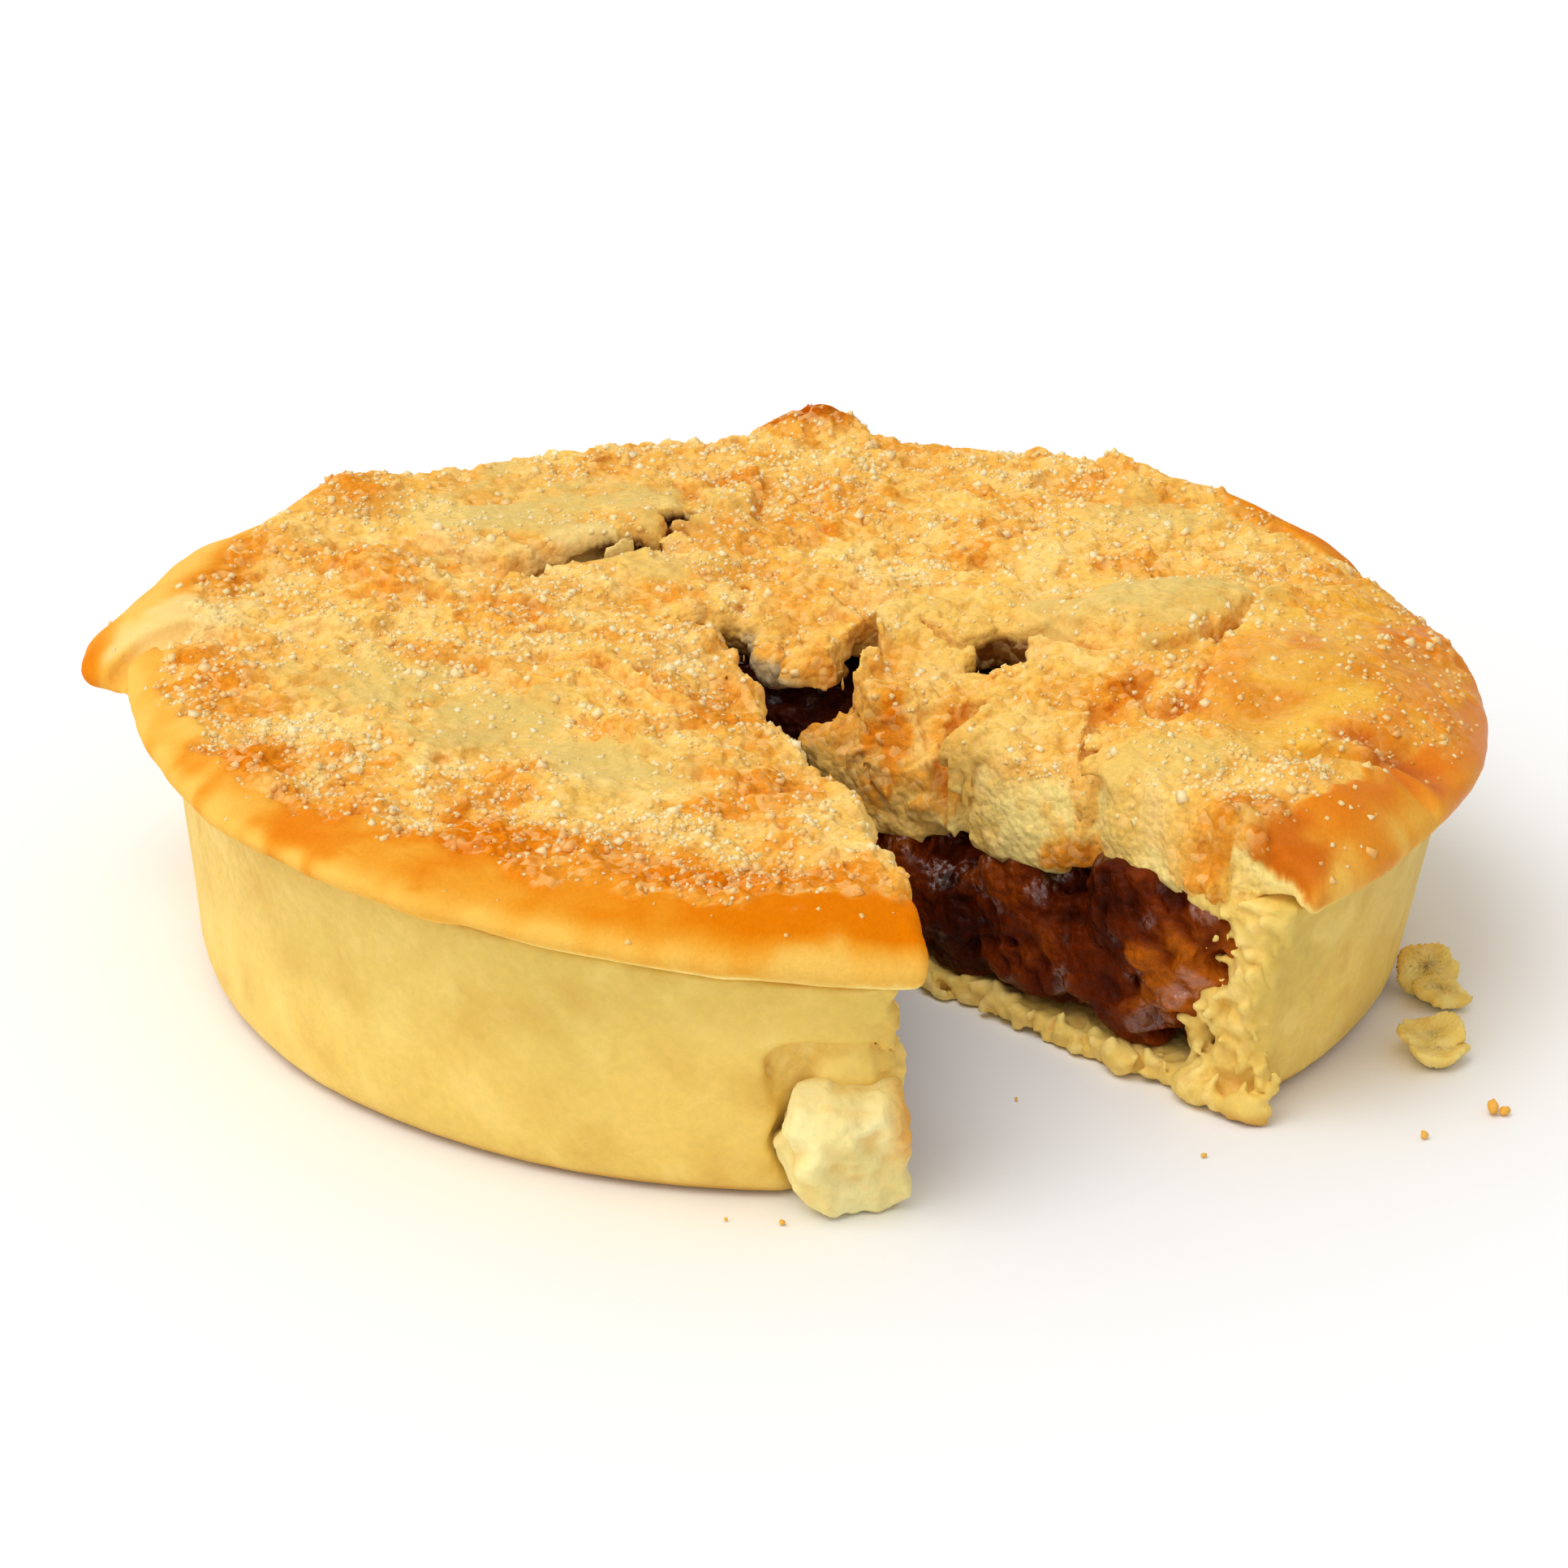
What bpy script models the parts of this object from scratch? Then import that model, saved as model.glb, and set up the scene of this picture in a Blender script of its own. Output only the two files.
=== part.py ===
"""A small deep apple pie with a wedge cut out of its front: a pastry case, an apple filling,
a lid of rough shortcrust and a chunk of crust that has broken off beside the cut."""

import math

import bmesh
import bpy
from mathutils import Euler, Vector, noise

# Lengths are in millimetres and angles in degrees. make_object turns them into metres.
MM = 0.001
GAP = 0.3

# The pie is drawn about the middle of its base circle. The origin is under the middle of its box,
# which the left flap of the lid pulls to one side.
BASE_CENTRE = (2.4, 0.2)

# The case: a leaning wall on a flat base, with a thin ledge under the lid.
BASE_RADIUS = 50.6
FOOT_RADIUS = 54.0
FOOT_HEIGHT = 3.0
RIM_RADIUS = 57.4
LEDGE_REACH = 0.8
LEDGE_THICKNESS = 0.7
SEAT_HEIGHT = 20.9
WALL = 4.6
FLOOR = 2.4
INNER_CORNER = 2.6
WALL_RINGS = (8.0, 13.0, 18.5)
INNER_RINGS = (17.0, 11.0, FLOOR + INNER_CORNER)
FLOOR_RING = 24.0

# The filling fills the case up to the underside of the lid.
FILLING_CLEAR = GAP + 0.25
FILLING_EDGE = 19.2
FILLING_SHOULDER = 48.0
FILLING_RINGS = 13
FILLING_LUMP = 1.5
FILLING_LUMP_LENGTH = 5.5

# The lid: a nearly flat crown that rolls down over a shoulder to an overhanging lip.
LIP_RADIUS = 59.6
LIP_DEPTH = 1.7
LIP_ROUND = 1.2
LIP_WAVE = 0.35
SHOULDER_RADIUS = 50.8
SHOULDER_POWER = 1.45
CROWN_HEIGHT = 27.2
CROWN_SLOPE = 0.006
CRUST = 4.3
UNEVEN = 0.45
UNEVEN_LENGTH = 13.0
UNDER_RINGS = (0.0, 7.0, 14.0, 20.0, 26.0, 32.0, 38.0, 43.5, 48.0)
SEAT_START = 50.5
BAND_PARTS = (0.05, 0.2, 0.4, 0.6, 0.8)
CROWN_RINGS = 15

# Bumps round the rim, each an azimuth, a half width and an amount.
LIP_REACH = (
    (174, 5.5, 5.6),
    (160, 12, 2.6),
    (-160, 16, -1.0),
    (19, 7, -3.0),
    (-14, 14, 1.2),
    (-45, 12, 0.8),
)
LIP_DROP = ((175, 5, -1.9), (158, 9, 1.9), (89, 5, 3.6), (141, 8, 1.8), (-45, 25, -0.5))
SHOULDER_REACH = (
    (45, 12, 3.8),
    (27, 6, 1.0),
    (82, 8, 2.4),
    (89, 4, 4.4),
    (141, 9, 5.6),
    (163, 12, 6.0),
    (-160, 18, 3.2),
    (-90, 20, 1.4),
)
SEAT_RISE = ((-128, 34, 2.5), (180, 30, 1.0), (150, 30, 0.6), (-60, 25, -0.4))
RIM_REACH = ((180, 60, -2.2), (-60, 30, 0.2))

# Swellings and hollows of the lid, each a centre, two half lengths, a turn and a height.
LID_RELIEF = (
    (35.0, 7.3, 9.0, 5.0, 10, 1.5),
    (46.0, -6.0, 9.0, 9.0, 0, 1.1),
    (46.0, -33.0, 9.0, 7.0, -40, 0.9),
    (14.0, -2.5, 9.0, 6.0, -20, -2.2),
    (-3.0, 9.0, 7.0, 3.5, 0, -1.6),
    (52.2, -21.2, 3.5, 3.5, 0, -1.4),
    (30.0, -13.3, 4.5, 2.5, -30, -1.3),
    (0.9, 56.5, 7.0, 4.0, 0, 1.6),
    (-42.5, 38.0, 8.0, 7.0, 45, 1.2),
    (-28.0, -16.0, 17.0, 6.0, -38, -0.7),
    (-54.0, 6.0, 6.0, 5.0, 0, 0.6),
    (-46.0, 27.0, 9.0, 7.0, 40, 1.1),
)

# A slab of the lid stands proud behind a crack at the back left, which is open along its middle.
CRACK = ((-8.5, 28.6), (-15.6, 22.8), (-27.3, 17.2), (-38.2, 24.5))
CRACK_ENDS = (5.0, 8.0)
SLAB_RISE = 1.6
SLAB_LENGTH = 16.0
SLAB_STEP = 0.9
SLAB_UNDER = 0.6
CRACK_OPEN = (-10.5, -26.0)
CRACK_WIDTH = 1.5
CRACK_JAG = 0.5
CRACK_STEPS = 8
THROUGH_LID = (14.0, 36.0)

# The wedge: its left side bends a little, its right side is straight.
LEFT_CUT = (
    (12.9, -74.0),
    (9.7, -58.3),
    (7.9, -49.8),
    (4.6, -34.2),
    (1.5, -26.5),
    (-1.9, -16.1),
    (-7.7, 1.6),
)
RIGHT_CUT_START = (0.0, -4.9)
RIGHT_CUT_AZIMUTH = -42.7
RIGHT_CUT_REACH = 80.0
CUT_STEP = 2.6
CUT_LEVEL = 2.3
CUT_LENGTH = 3.5

# The lid's cut starts wider than that of the case and the filling, whose left side is set back.
LID_APEX = ((-11.0, 8.6), (-7.5, 9.6), (-3.5, 6.2), (6.6, 4.4), (6.0, 0.4), (4.0, -6.0))
LID_RIGHT_START = 6.0
LID_CUT = (6.0, 40.0)
LID_ROUGH = 1.3
CORE_APEX = ((-9.9, 4.2),)
CORE_RIGHT_START = 1.0
CORE_SHIFT = -1.7
CORE_CUT = (-2.0, 40.0)
CASE_ROUGH = 1.1
FILLING_ROUGH = 2.4

# Along the right cut the lid has slumped in three lumps onto the filling. Each is a place along the
# cut, a half width and how far the underside or the top goes down.
LUMP_DEPTHS = ((12.5, 7.0, 6.6), (25.0, 9.0, 7.0), (35.0, 5.0, 4.4), (43.5, 3.0, 1.6))
LUMP_SAGS = ((0.0, 6.0, 2.6), (13.5, 3.6, 4.4), (24.0, 9.0, 1.9), (52.0, 4.0, 1.2))
LUMP_REACH = 9.0
LUMP_START = -12.0

# A tongue of pastry hangs over the point of the wedge.
TONGUE_PLACE = (2.4, -0.6, 25.4)
TONGUE_SIZE = (4.2, 8.6, 1.7)
TONGUE_TURNS = (9.0, 0.0, -12.0)
TONGUE_ROUGH = 0.35

# A small hole goes through the lid, on the right.
HOLE_PLACE = (17.1, -0.2)
HOLE_SIZE = (2.6, 1.3)
HOLE_SIDES = 10
HOLE_JAG = 0.25

# The broken chunk leans into the broken foot of the case at the left side of the cut, and above it
# the outer skin of the case has flaked off.
CHUNK_PLACE = (3.9, -54.6, 5.9)
CHUNK_SIZE = (5.6, 3.7, 6.2)
CHUNK_TURNS = (12.0, -9.0, 14.0)
CHUNK_ROUGH = 1.1
CHUNK_CLEAR = 0.45
FLAKE_PLACE = (2.6, -57.6, 10.6)
FLAKE_SIZE = (6.2, 4.4, 5.2)
FLAKE_TURNS = (0.0, 0.0, 5.0)
FLAKE_ROUGH = 0.9
BLOCKINESS = 0.6
BLOCK_LENGTH = 2.6

CASE_SIDES = 72
LID_SIDES = 90
FILLING_SIDES = 60
SMOOTH_ANGLE = 40

# Colour and roughness of each piece.
CASE_LOOK = ((0.83, 0.66, 0.27), 0.6)
FILLING_LOOK = ((0.20, 0.06, 0.01), 0.25)
LID_LOOK = ((0.86, 0.55, 0.20), 0.65)
CHUNK_LOOK = ((0.90, 0.78, 0.42), 0.8)
CUTTER_LOOK = ((0.5, 0.5, 0.5), 0.5)


def bumps_at(place, bumps, turn=None):
    """The sum at a place of rounded bumps, each a centre, a half width and an amount."""
    total = 0.0
    for centre, width, amount in bumps:
        away = place - centre
        if turn:
            away = (away + turn / 2) % turn - turn / 2
        total += amount * math.exp(-((away / width) ** 2))
    return total


def ring_bumps(azimuth, bumps):
    return bumps_at(azimuth, bumps, turn=360)


def azimuth_of(x, y):
    return math.degrees(math.atan2(y, x))


def direction(azimuth):
    turn = math.radians(azimuth)
    return math.cos(turn), math.sin(turn)


def wall_radius(azimuth, height):
    """The outside of the case's wall at a height."""
    rim = RIM_RADIUS + ring_bumps(azimuth, RIM_REACH)
    rise = (height - FOOT_HEIGHT) / (seat_height(azimuth) - FOOT_HEIGHT)
    return FOOT_RADIUS + (rim - FOOT_RADIUS) * rise


def seat_height(azimuth):
    """The height at which the lid's lip rests on the case."""
    return SEAT_HEIGHT + ring_bumps(azimuth, SEAT_RISE)


def lip_radius(azimuth):
    wave = LIP_WAVE * rough_at(*direction(azimuth), 0, 0.2)
    return LIP_RADIUS + ring_bumps(azimuth, LIP_REACH) + wave


def lip_height(azimuth):
    return seat_height(azimuth) + LIP_DEPTH + ring_bumps(azimuth, LIP_DROP)


def shoulder_radius(azimuth):
    return SHOULDER_RADIUS + ring_bumps(azimuth, SHOULDER_REACH)


def rough_at(x, y, z, length):
    """Smooth noise from about -1 to 1 with lumps of the given length."""
    return noise.noise(Vector((x / length + 3.1, y / length - 7.7, z / length + 1.3)))


def relief_at(x, y):
    """The swellings and hollows of the lid."""
    total = UNEVEN * rough_at(x, y, 0, UNEVEN_LENGTH)
    for cx, cy, half_x, half_y, turn, height in LID_RELIEF:
        c, s = direction(turn)
        along = ((x - cx) * c + (y - cy) * s) / half_x
        across = ((y - cy) * c - (x - cx) * s) / half_y
        total += height * math.exp(-(along**2) - across**2)
    return total


def behind_crack(x, y):
    """Distance behind the crack of the raised slab, negative in front of it."""
    for (x0, y0), (x1, y1) in zip(CRACK, CRACK[1:]):
        if x1 <= x <= x0:
            return y - (y0 + (y1 - y0) * (x - x0) / (x1 - x0))
    return None


def slab_at(x, y):
    away = behind_crack(x, y)
    if away is None:
        return 0.0
    ends = min(1.0, (CRACK[0][0] - x) / CRACK_ENDS[0], (x - CRACK[-1][0]) / CRACK_ENDS[1])
    rise = min(1.0, max(0.0, away / SLAB_STEP))
    return SLAB_RISE * max(0.0, ends) * rise * math.exp(-((max(0.0, away) / SLAB_LENGTH) ** 2))


def right_cut_place(x, y):
    """How far along the right side of the cut a point is, and how far into the pie from it."""
    c, s = direction(RIGHT_CUT_AZIMUTH)
    x, y = x - RIGHT_CUT_START[0], y - RIGHT_CUT_START[1]
    return x * c + y * s, y * c - x * s


def near_right_cut(x, y):
    """1 at the right side of the cut, falling to 0 inside the pie."""
    along, inside = right_cut_place(x, y)
    if along < LUMP_START:
        return 0.0
    return math.exp(-((inside / LUMP_REACH) ** 2))


def crown_height(x, y):
    """The top of the lid as if its flat part ran on to the rim."""
    sag = bumps_at(right_cut_place(x, y)[0], LUMP_SAGS) * near_right_cut(x, y)
    return CROWN_HEIGHT + CROWN_SLOPE * y + relief_at(x, y) + slab_at(x, y) - sag


def top_height(x, y):
    azimuth = azimuth_of(x, y)
    shoulder, lip = shoulder_radius(azimuth), lip_radius(azimuth)
    out = (math.hypot(x, y) - shoulder) / (lip - shoulder)
    crown, low = crown_height(x, y), lip_height(azimuth)
    out = min(1.0, max(0.0, out))
    return low + (crown - low) * (1 - out**SHOULDER_POWER) ** (1 / SHOULDER_POWER)


def underside_height(x, y):
    """The underside of the lid inside the case."""
    drop = bumps_at(right_cut_place(x, y)[0], LUMP_DEPTHS) * near_right_cut(x, y)
    return CROWN_HEIGHT + CROWN_SLOPE * y - CRUST + SLAB_UNDER * slab_at(x, y) - drop


def make_object(name, bm, look):
    """A named object from the bmesh, in metres, with its own material."""
    colour, roughness = look
    bmesh.ops.scale(bm, vec=(MM, MM, MM), verts=bm.verts)
    bmesh.ops.recalc_face_normals(bm, faces=bm.faces)
    mesh = bpy.data.meshes.new(name)
    bm.to_mesh(mesh)
    bm.free()
    obj = bpy.data.objects.new(name, mesh)
    obj.location = (BASE_CENTRE[0] * MM, BASE_CENTRE[1] * MM, 0)
    bpy.context.scene.collection.objects.link(obj)
    material = bpy.data.materials.new(name)
    material.use_nodes = True
    shader = material.node_tree.nodes["Principled BSDF"]
    shader.inputs["Base Color"].default_value = (*colour, 1.0)
    shader.inputs["Roughness"].default_value = roughness
    mesh.materials.append(material)
    mesh.shade_smooth()
    mesh.set_sharp_from_angle(angle=math.radians(SMOOTH_ANGLE))
    return obj


def turned_bmesh(profile, sides):
    """A closed body turned about Z. profile gives (radius, height) pairs for an azimuth, from the middle
    of the bottom round the outside to the middle of the top."""
    bm = bmesh.new()
    columns = [profile(360 * k / sides) for k in range(sides)]
    low = bm.verts.new((0, 0, columns[0][0][1]))
    high = bm.verts.new((0, 0, columns[0][-1][1]))
    rings = []
    for row in range(1, len(columns[0]) - 1):
        ring = []
        for k, column in enumerate(columns):
            c, s = direction(360 * k / sides)
            radius, height = column[row]
            ring.append(bm.verts.new((radius * c, radius * s, height)))
        rings.append(ring)
    for k in range(sides):
        after = (k + 1) % sides
        bm.faces.new((low, rings[0][after], rings[0][k]))
        bm.faces.new((high, rings[-1][k], rings[-1][after]))
        for inner, outer in zip(rings, rings[1:]):
            bm.faces.new((inner[k], inner[after], outer[after], outer[k]))
    bmesh.ops.triangulate(bm, faces=bm.faces)
    return bm


def wedge_outline(apex, right_start, shift):
    """The missing wedge from above, in short steps: its left side, its point and its right side."""
    c, s = direction(RIGHT_CUT_AZIMUTH)
    x0, y0 = RIGHT_CUT_START
    left = [(x + shift, y) for x, y in LEFT_CUT]
    right = [(x0 + along * c, y0 + along * s) for along in (right_start, RIGHT_CUT_REACH)]
    corners = [*left, *apex, *right]
    outline = []
    for (ax, ay), (bx, by) in zip(corners, corners[1:]):
        steps = max(1, round(math.dist((ax, ay), (bx, by)) / CUT_STEP))
        outline += [(ax + (bx - ax) * k / steps, ay + (by - ay) * k / steps) for k in range(steps)]
    return [*outline, corners[-1]]


def ragged_place(x, y, z, rough):
    """Where a point of a torn cut goes. Most of the raggedness is across the view from the front."""
    wide = rough_at(x, y, z, CUT_LENGTH)
    fine = rough_at(y, z, x, CUT_LENGTH / 2)
    deep = rough_at(z, x, y, CUT_LENGTH)
    return x + rough * (wide + fine / 2), y + rough * deep / 2, z


def ragged_wedge(name, outline, levels, rough):
    """A cutter for the missing wedge, whose sides wander by up to about rough."""
    bottom, top = levels
    rows = round((top - bottom) / CUT_LEVEL)
    bm = bmesh.new()
    loops = []
    for row in range(rows + 1):
        z = bottom + (top - bottom) * row / rows
        loops.append([bm.verts.new(ragged_place(x, y, z, rough)) for x, y in outline])
    for low, high in zip(loops, loops[1:]):
        for k in range(len(outline)):
            after = (k + 1) % len(outline)
            bm.faces.new((low[k], low[after], high[after], high[k]))
    bm.faces.new(loops[0])
    bm.faces.new(loops[-1])
    bmesh.ops.triangulate(bm, faces=bm.faces)
    return make_cutter(name, bm)


def make_cutter(name, bm):
    cutter = make_object(name, bm, CUTTER_LOOK)
    cutter.hide_render = True
    cutter.display_type = "WIRE"
    return cutter


def lump_bmesh(size, place, turns, rough, detail=3):
    """A rounded block with a rough surface."""
    bm = bmesh.new()
    bmesh.ops.create_icosphere(bm, subdivisions=detail, radius=1)
    for vert in bm.verts:
        x, y, z = (math.copysign(abs(v) ** BLOCKINESS, v) * half for v, half in zip(vert.co, size))
        swell = 1 + rough * rough_at(x + place[0], y + place[1], z + place[2], BLOCK_LENGTH) / min(size)
        vert.co = Vector((x, y, z)) * swell
    bmesh.ops.rotate(bm, verts=bm.verts, matrix=Euler([math.radians(turn) for turn in turns]).to_matrix())
    bmesh.ops.translate(bm, verts=bm.verts, vec=place)
    return bm


def boolean(obj, other, operation, solver="EXACT"):
    modifier = obj.modifiers.new(f"{operation.lower()}_{other.name}", "BOOLEAN")
    modifier.operation = operation
    modifier.object = other
    modifier.solver = solver


def case_profile(azimuth):
    seat = seat_height(azimuth) - GAP
    foot = [
        (BASE_RADIUS, 0.0),
        (BASE_RADIUS + 0.6 * (FOOT_RADIUS - BASE_RADIUS), 0.13 * FOOT_HEIGHT),
        (BASE_RADIUS + 0.85 * (FOOT_RADIUS - BASE_RADIUS), 0.45 * FOOT_HEIGHT),
        (FOOT_RADIUS, FOOT_HEIGHT),
    ]
    outer = [(wall_radius(azimuth, height), height) for height in WALL_RINGS]
    reach = min(wall_radius(azimuth, seat) + LEDGE_REACH, lip_radius(azimuth) - LEDGE_REACH)
    ledge = [
        (reach - LEDGE_REACH / 2, seat - LEDGE_THICKNESS),
        (reach, seat),
        (wall_radius(azimuth, seat) - WALL, seat),
    ]
    inner = [(wall_radius(azimuth, height) - WALL, height) for height in INNER_RINGS]
    corner = (FOOT_RADIUS - WALL - INNER_CORNER, FLOOR)
    return [(0.0, 0.0), *foot, *outer, *ledge, *inner, corner, (FLOOR_RING, FLOOR), (0.0, FLOOR)]


def make_case():
    case = make_object("case", turned_bmesh(case_profile, CASE_SIDES), CASE_LOOK)
    outline = wedge_outline(CORE_APEX, CORE_RIGHT_START, CORE_SHIFT)
    flake = lump_bmesh(FLAKE_SIZE, FLAKE_PLACE, FLAKE_TURNS, FLAKE_ROUGH, detail=2)
    boolean(case, ragged_wedge("case_cutter", outline, CORE_CUT, CASE_ROUGH), "DIFFERENCE")
    boolean(case, make_cutter("flake_cutter", flake), "DIFFERENCE")
    boolean(case, make_cutter("chunk_cutter", chunk_bmesh(CHUNK_CLEAR)), "DIFFERENCE")


def filling_profile(azimuth):
    c, s = direction(azimuth)
    corner, middle, edge = INNER_RINGS[2], INNER_RINGS[1], INNER_RINGS[0]
    side = [
        (FOOT_RADIUS - WALL - INNER_CORNER - FILLING_CLEAR, FLOOR + GAP),
        (wall_radius(azimuth, corner) - WALL - FILLING_CLEAR, corner + FILLING_CLEAR),
        (wall_radius(azimuth, middle) - WALL - FILLING_CLEAR, middle),
        (wall_radius(azimuth, edge) - WALL - FILLING_CLEAR, edge),
        (wall_radius(azimuth, edge) - WALL - FILLING_CLEAR, FILLING_EDGE),
    ]
    top = []
    for ring in range(FILLING_RINGS, -1, -1):
        radius = FILLING_SHOULDER * ring / FILLING_RINGS
        x, y = radius * c, radius * s
        lump = FILLING_LUMP * (1 + rough_at(x, y, 0, FILLING_LUMP_LENGTH)) / 2
        top.append((radius, underside_height(x, y) - 2 * GAP - lump))
    return [(0.0, FLOOR + GAP), *side, *top]


def make_filling():
    filling = make_object("filling", turned_bmesh(filling_profile, FILLING_SIDES), FILLING_LOOK)
    outline = wedge_outline(CORE_APEX, CORE_RIGHT_START, CORE_SHIFT)
    boolean(filling, ragged_wedge("filling_cutter", outline, CORE_CUT, FILLING_ROUGH), "DIFFERENCE")


def lid_profile(azimuth):
    c, s = direction(azimuth)
    lip, low, seat = lip_radius(azimuth), lip_height(azimuth), seat_height(azimuth)
    shoulder = shoulder_radius(azimuth)
    under = [(radius, underside_height(radius * c, radius * s)) for radius in UNDER_RINGS]
    edge, height = under[-1]
    under[-1] = (edge, max(height, seat))
    under += [(SEAT_START, seat), (min(RIM_RADIUS + LEDGE_REACH, lip - 2 * LIP_ROUND), seat)]
    rim = [
        (lip - LIP_ROUND, low - LIP_DEPTH),
        (lip - 0.3 * LIP_ROUND, low - 0.6 * LIP_DEPTH),
        (lip, low),
    ]
    band = [lip + (shoulder - lip) * part for part in BAND_PARTS]
    crown = [shoulder * ring / CROWN_RINGS for ring in range(CROWN_RINGS, -1, -1)]
    top = [(radius, top_height(radius * c, radius * s)) for radius in band + crown]
    return under + rim + top


def crack_middle(x):
    """The y of the crack's line at x."""
    return -behind_crack(x, 0.0)


def crack_cutter():
    """A narrow slot along the open stretch of the crack."""
    bm = bmesh.new()
    start, end = CRACK_OPEN
    loops = []
    for side, z in ((-1, THROUGH_LID[0]), (-1, THROUGH_LID[1]), (1, THROUGH_LID[1]), (1, THROUGH_LID[0])):
        loop = []
        for k in range(CRACK_STEPS + 1):
            x = start + (end - start) * k / CRACK_STEPS
            half = CRACK_WIDTH * (0.15 + math.sin(math.pi * k / CRACK_STEPS)) / 2
            jag = CRACK_JAG * rough_at(x, side, 0, CUT_LENGTH) * (side + 1)
            loop.append(bm.verts.new((x, crack_middle(x) + side * half + jag, z)))
        loops.append(loop)
    for a, b in zip(loops, loops[1:] + loops[:1]):
        for k in range(CRACK_STEPS):
            bm.faces.new((a[k], a[k + 1], b[k + 1], b[k]))
    for k in (0, CRACK_STEPS):
        bm.faces.new([loop[k] for loop in loops])
    bmesh.ops.triangulate(bm, faces=bm.faces)
    return make_cutter("crack_cutter", bm)


def hole_cutter():
    bm = bmesh.new()
    low, high = THROUGH_LID
    bmesh.ops.create_cone(bm, cap_ends=True, segments=HOLE_SIDES, radius1=1, radius2=1, depth=high - low)
    for vert in bm.verts:
        jag = 1 + HOLE_JAG * rough_at(vert.co.x, vert.co.y, 0, 1.0)
        vert.co.x = HOLE_PLACE[0] + vert.co.x * HOLE_SIZE[0] * jag
        vert.co.y = HOLE_PLACE[1] + vert.co.y * HOLE_SIZE[1] * jag
        vert.co.z += (low + high) / 2
    return make_cutter("hole_cutter", bm)


def make_lid():
    lid = make_object("lid", turned_bmesh(lid_profile, LID_SIDES), LID_LOOK)
    outline = wedge_outline(LID_APEX, LID_RIGHT_START, 0.0)
    tongue = lump_bmesh(TONGUE_SIZE, TONGUE_PLACE, TONGUE_TURNS, TONGUE_ROUGH)
    boolean(lid, hole_cutter(), "DIFFERENCE")
    boolean(lid, crack_cutter(), "DIFFERENCE", solver="MANIFOLD")
    boolean(lid, ragged_wedge("lid_cutter", outline, LID_CUT, LID_ROUGH), "DIFFERENCE")
    boolean(lid, make_cutter("tongue", tongue), "UNION")


def chunk_bmesh(clear=0.0):
    """The broken chunk, flat where it stands on the floor, or with clear a slightly larger one."""
    size = [half + clear for half in CHUNK_SIZE]
    bm = lump_bmesh(size, CHUNK_PLACE, CHUNK_TURNS, CHUNK_ROUGH)
    for vert in bm.verts:
        vert.co.z = max(-2 * clear, vert.co.z)
    return bm


def main():
    for obj in list(bpy.data.objects):
        bpy.data.objects.remove(obj)
    make_case()
    make_filling()
    make_lid()
    make_object("crust_chunk", chunk_bmesh(), CHUNK_LOOK)


main()
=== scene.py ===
"""The look of a small apple pie with a wedge cut out: rough sugared lid, smooth case, dark wet filling,
a broken chunk of crust, sugar crystals, and a few scraps beside it."""

import math

import bmesh
import bpy
import numpy as np
import openvdb
from mathutils import Euler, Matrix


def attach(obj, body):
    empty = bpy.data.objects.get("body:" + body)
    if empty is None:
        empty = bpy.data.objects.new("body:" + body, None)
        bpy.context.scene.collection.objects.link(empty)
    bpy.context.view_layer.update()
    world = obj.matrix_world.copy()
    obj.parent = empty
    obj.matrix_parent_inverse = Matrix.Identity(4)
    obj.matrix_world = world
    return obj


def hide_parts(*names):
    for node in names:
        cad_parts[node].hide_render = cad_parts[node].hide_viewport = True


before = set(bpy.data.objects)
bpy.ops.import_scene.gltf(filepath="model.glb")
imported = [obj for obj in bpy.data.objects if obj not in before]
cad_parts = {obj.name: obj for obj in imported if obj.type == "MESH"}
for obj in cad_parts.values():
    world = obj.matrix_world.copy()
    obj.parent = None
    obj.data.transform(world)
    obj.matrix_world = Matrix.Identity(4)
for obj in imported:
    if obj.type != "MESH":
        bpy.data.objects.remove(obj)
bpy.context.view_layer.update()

# Lengths are in millimetres about the middle of the pie's base, and angles in degrees.
MM = 0.001
BASE_CENTRE = (2.4, 0.2)

# The side of the grids' cells, how many cells the distances reach, and the spare cells round a solid.
VOXEL = 0.3
CASE_VOXEL = 0.35
BAND = 6
MARGIN = 8
FAR_OFF = 1e9

# The lid's relief is pressed below ROOM_TOP, over a soft range, and cut off at TOP_LIMIT.
ROOM_TOP = 29.5
ROOM_SOFT = 0.4
TOP_LIMIT = 29.8
FILL_CELLS = 12

# The photo's camera, and the pixels of its focal length and its width.
CAMERA_PLACE = (0.0, -407.506, 190.890)
CAMERA_TURN = 0.2197
CAMERA_TIP = 23.554
FOCAL_PIXELS = 6133.2
PHOTO_WIDTH = 1932
SENSOR_WIDTH = 36.0

# The studio: the floor in metres, the strength of the sky at each side and the key light.
FLOOR_REACH = 4.0
FLOOR_DROP = 0.00005
SKY_LEFT = 1.22
SKY_RIGHT = 0.44
KEY_ENERGY = 1.1
KEY_AZIMUTH = -140
KEY_ELEVATION = 64
KEY_SPREAD = 40

# The wedge's sides from above, for the lid and, moved by CORE_SHIFT, for the case and filling.
LEFT_CUT = ((9.7, -58.3), (7.9, -49.8), (4.6, -34.2), (1.5, -26.5), (-1.9, -16.1), (-7.7, 1.6))
LID_APEX = ((-11, 8.6), (-7.5, 9.6), (-3.5, 6.2), (6.6, 4.4), (6, 0.4), (4, -6))
RIGHT_CUT_START = (0, -4.9)
RIGHT_CUT_AZIMUTH = -42.7
RIGHT_CUT_REACH = 58.0
CORE_SHIFT = -1.7
CUT_COS = math.cos(math.radians(RIGHT_CUT_AZIMUTH))
CUT_SIN = math.sin(math.radians(RIGHT_CUT_AZIMUTH))

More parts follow.
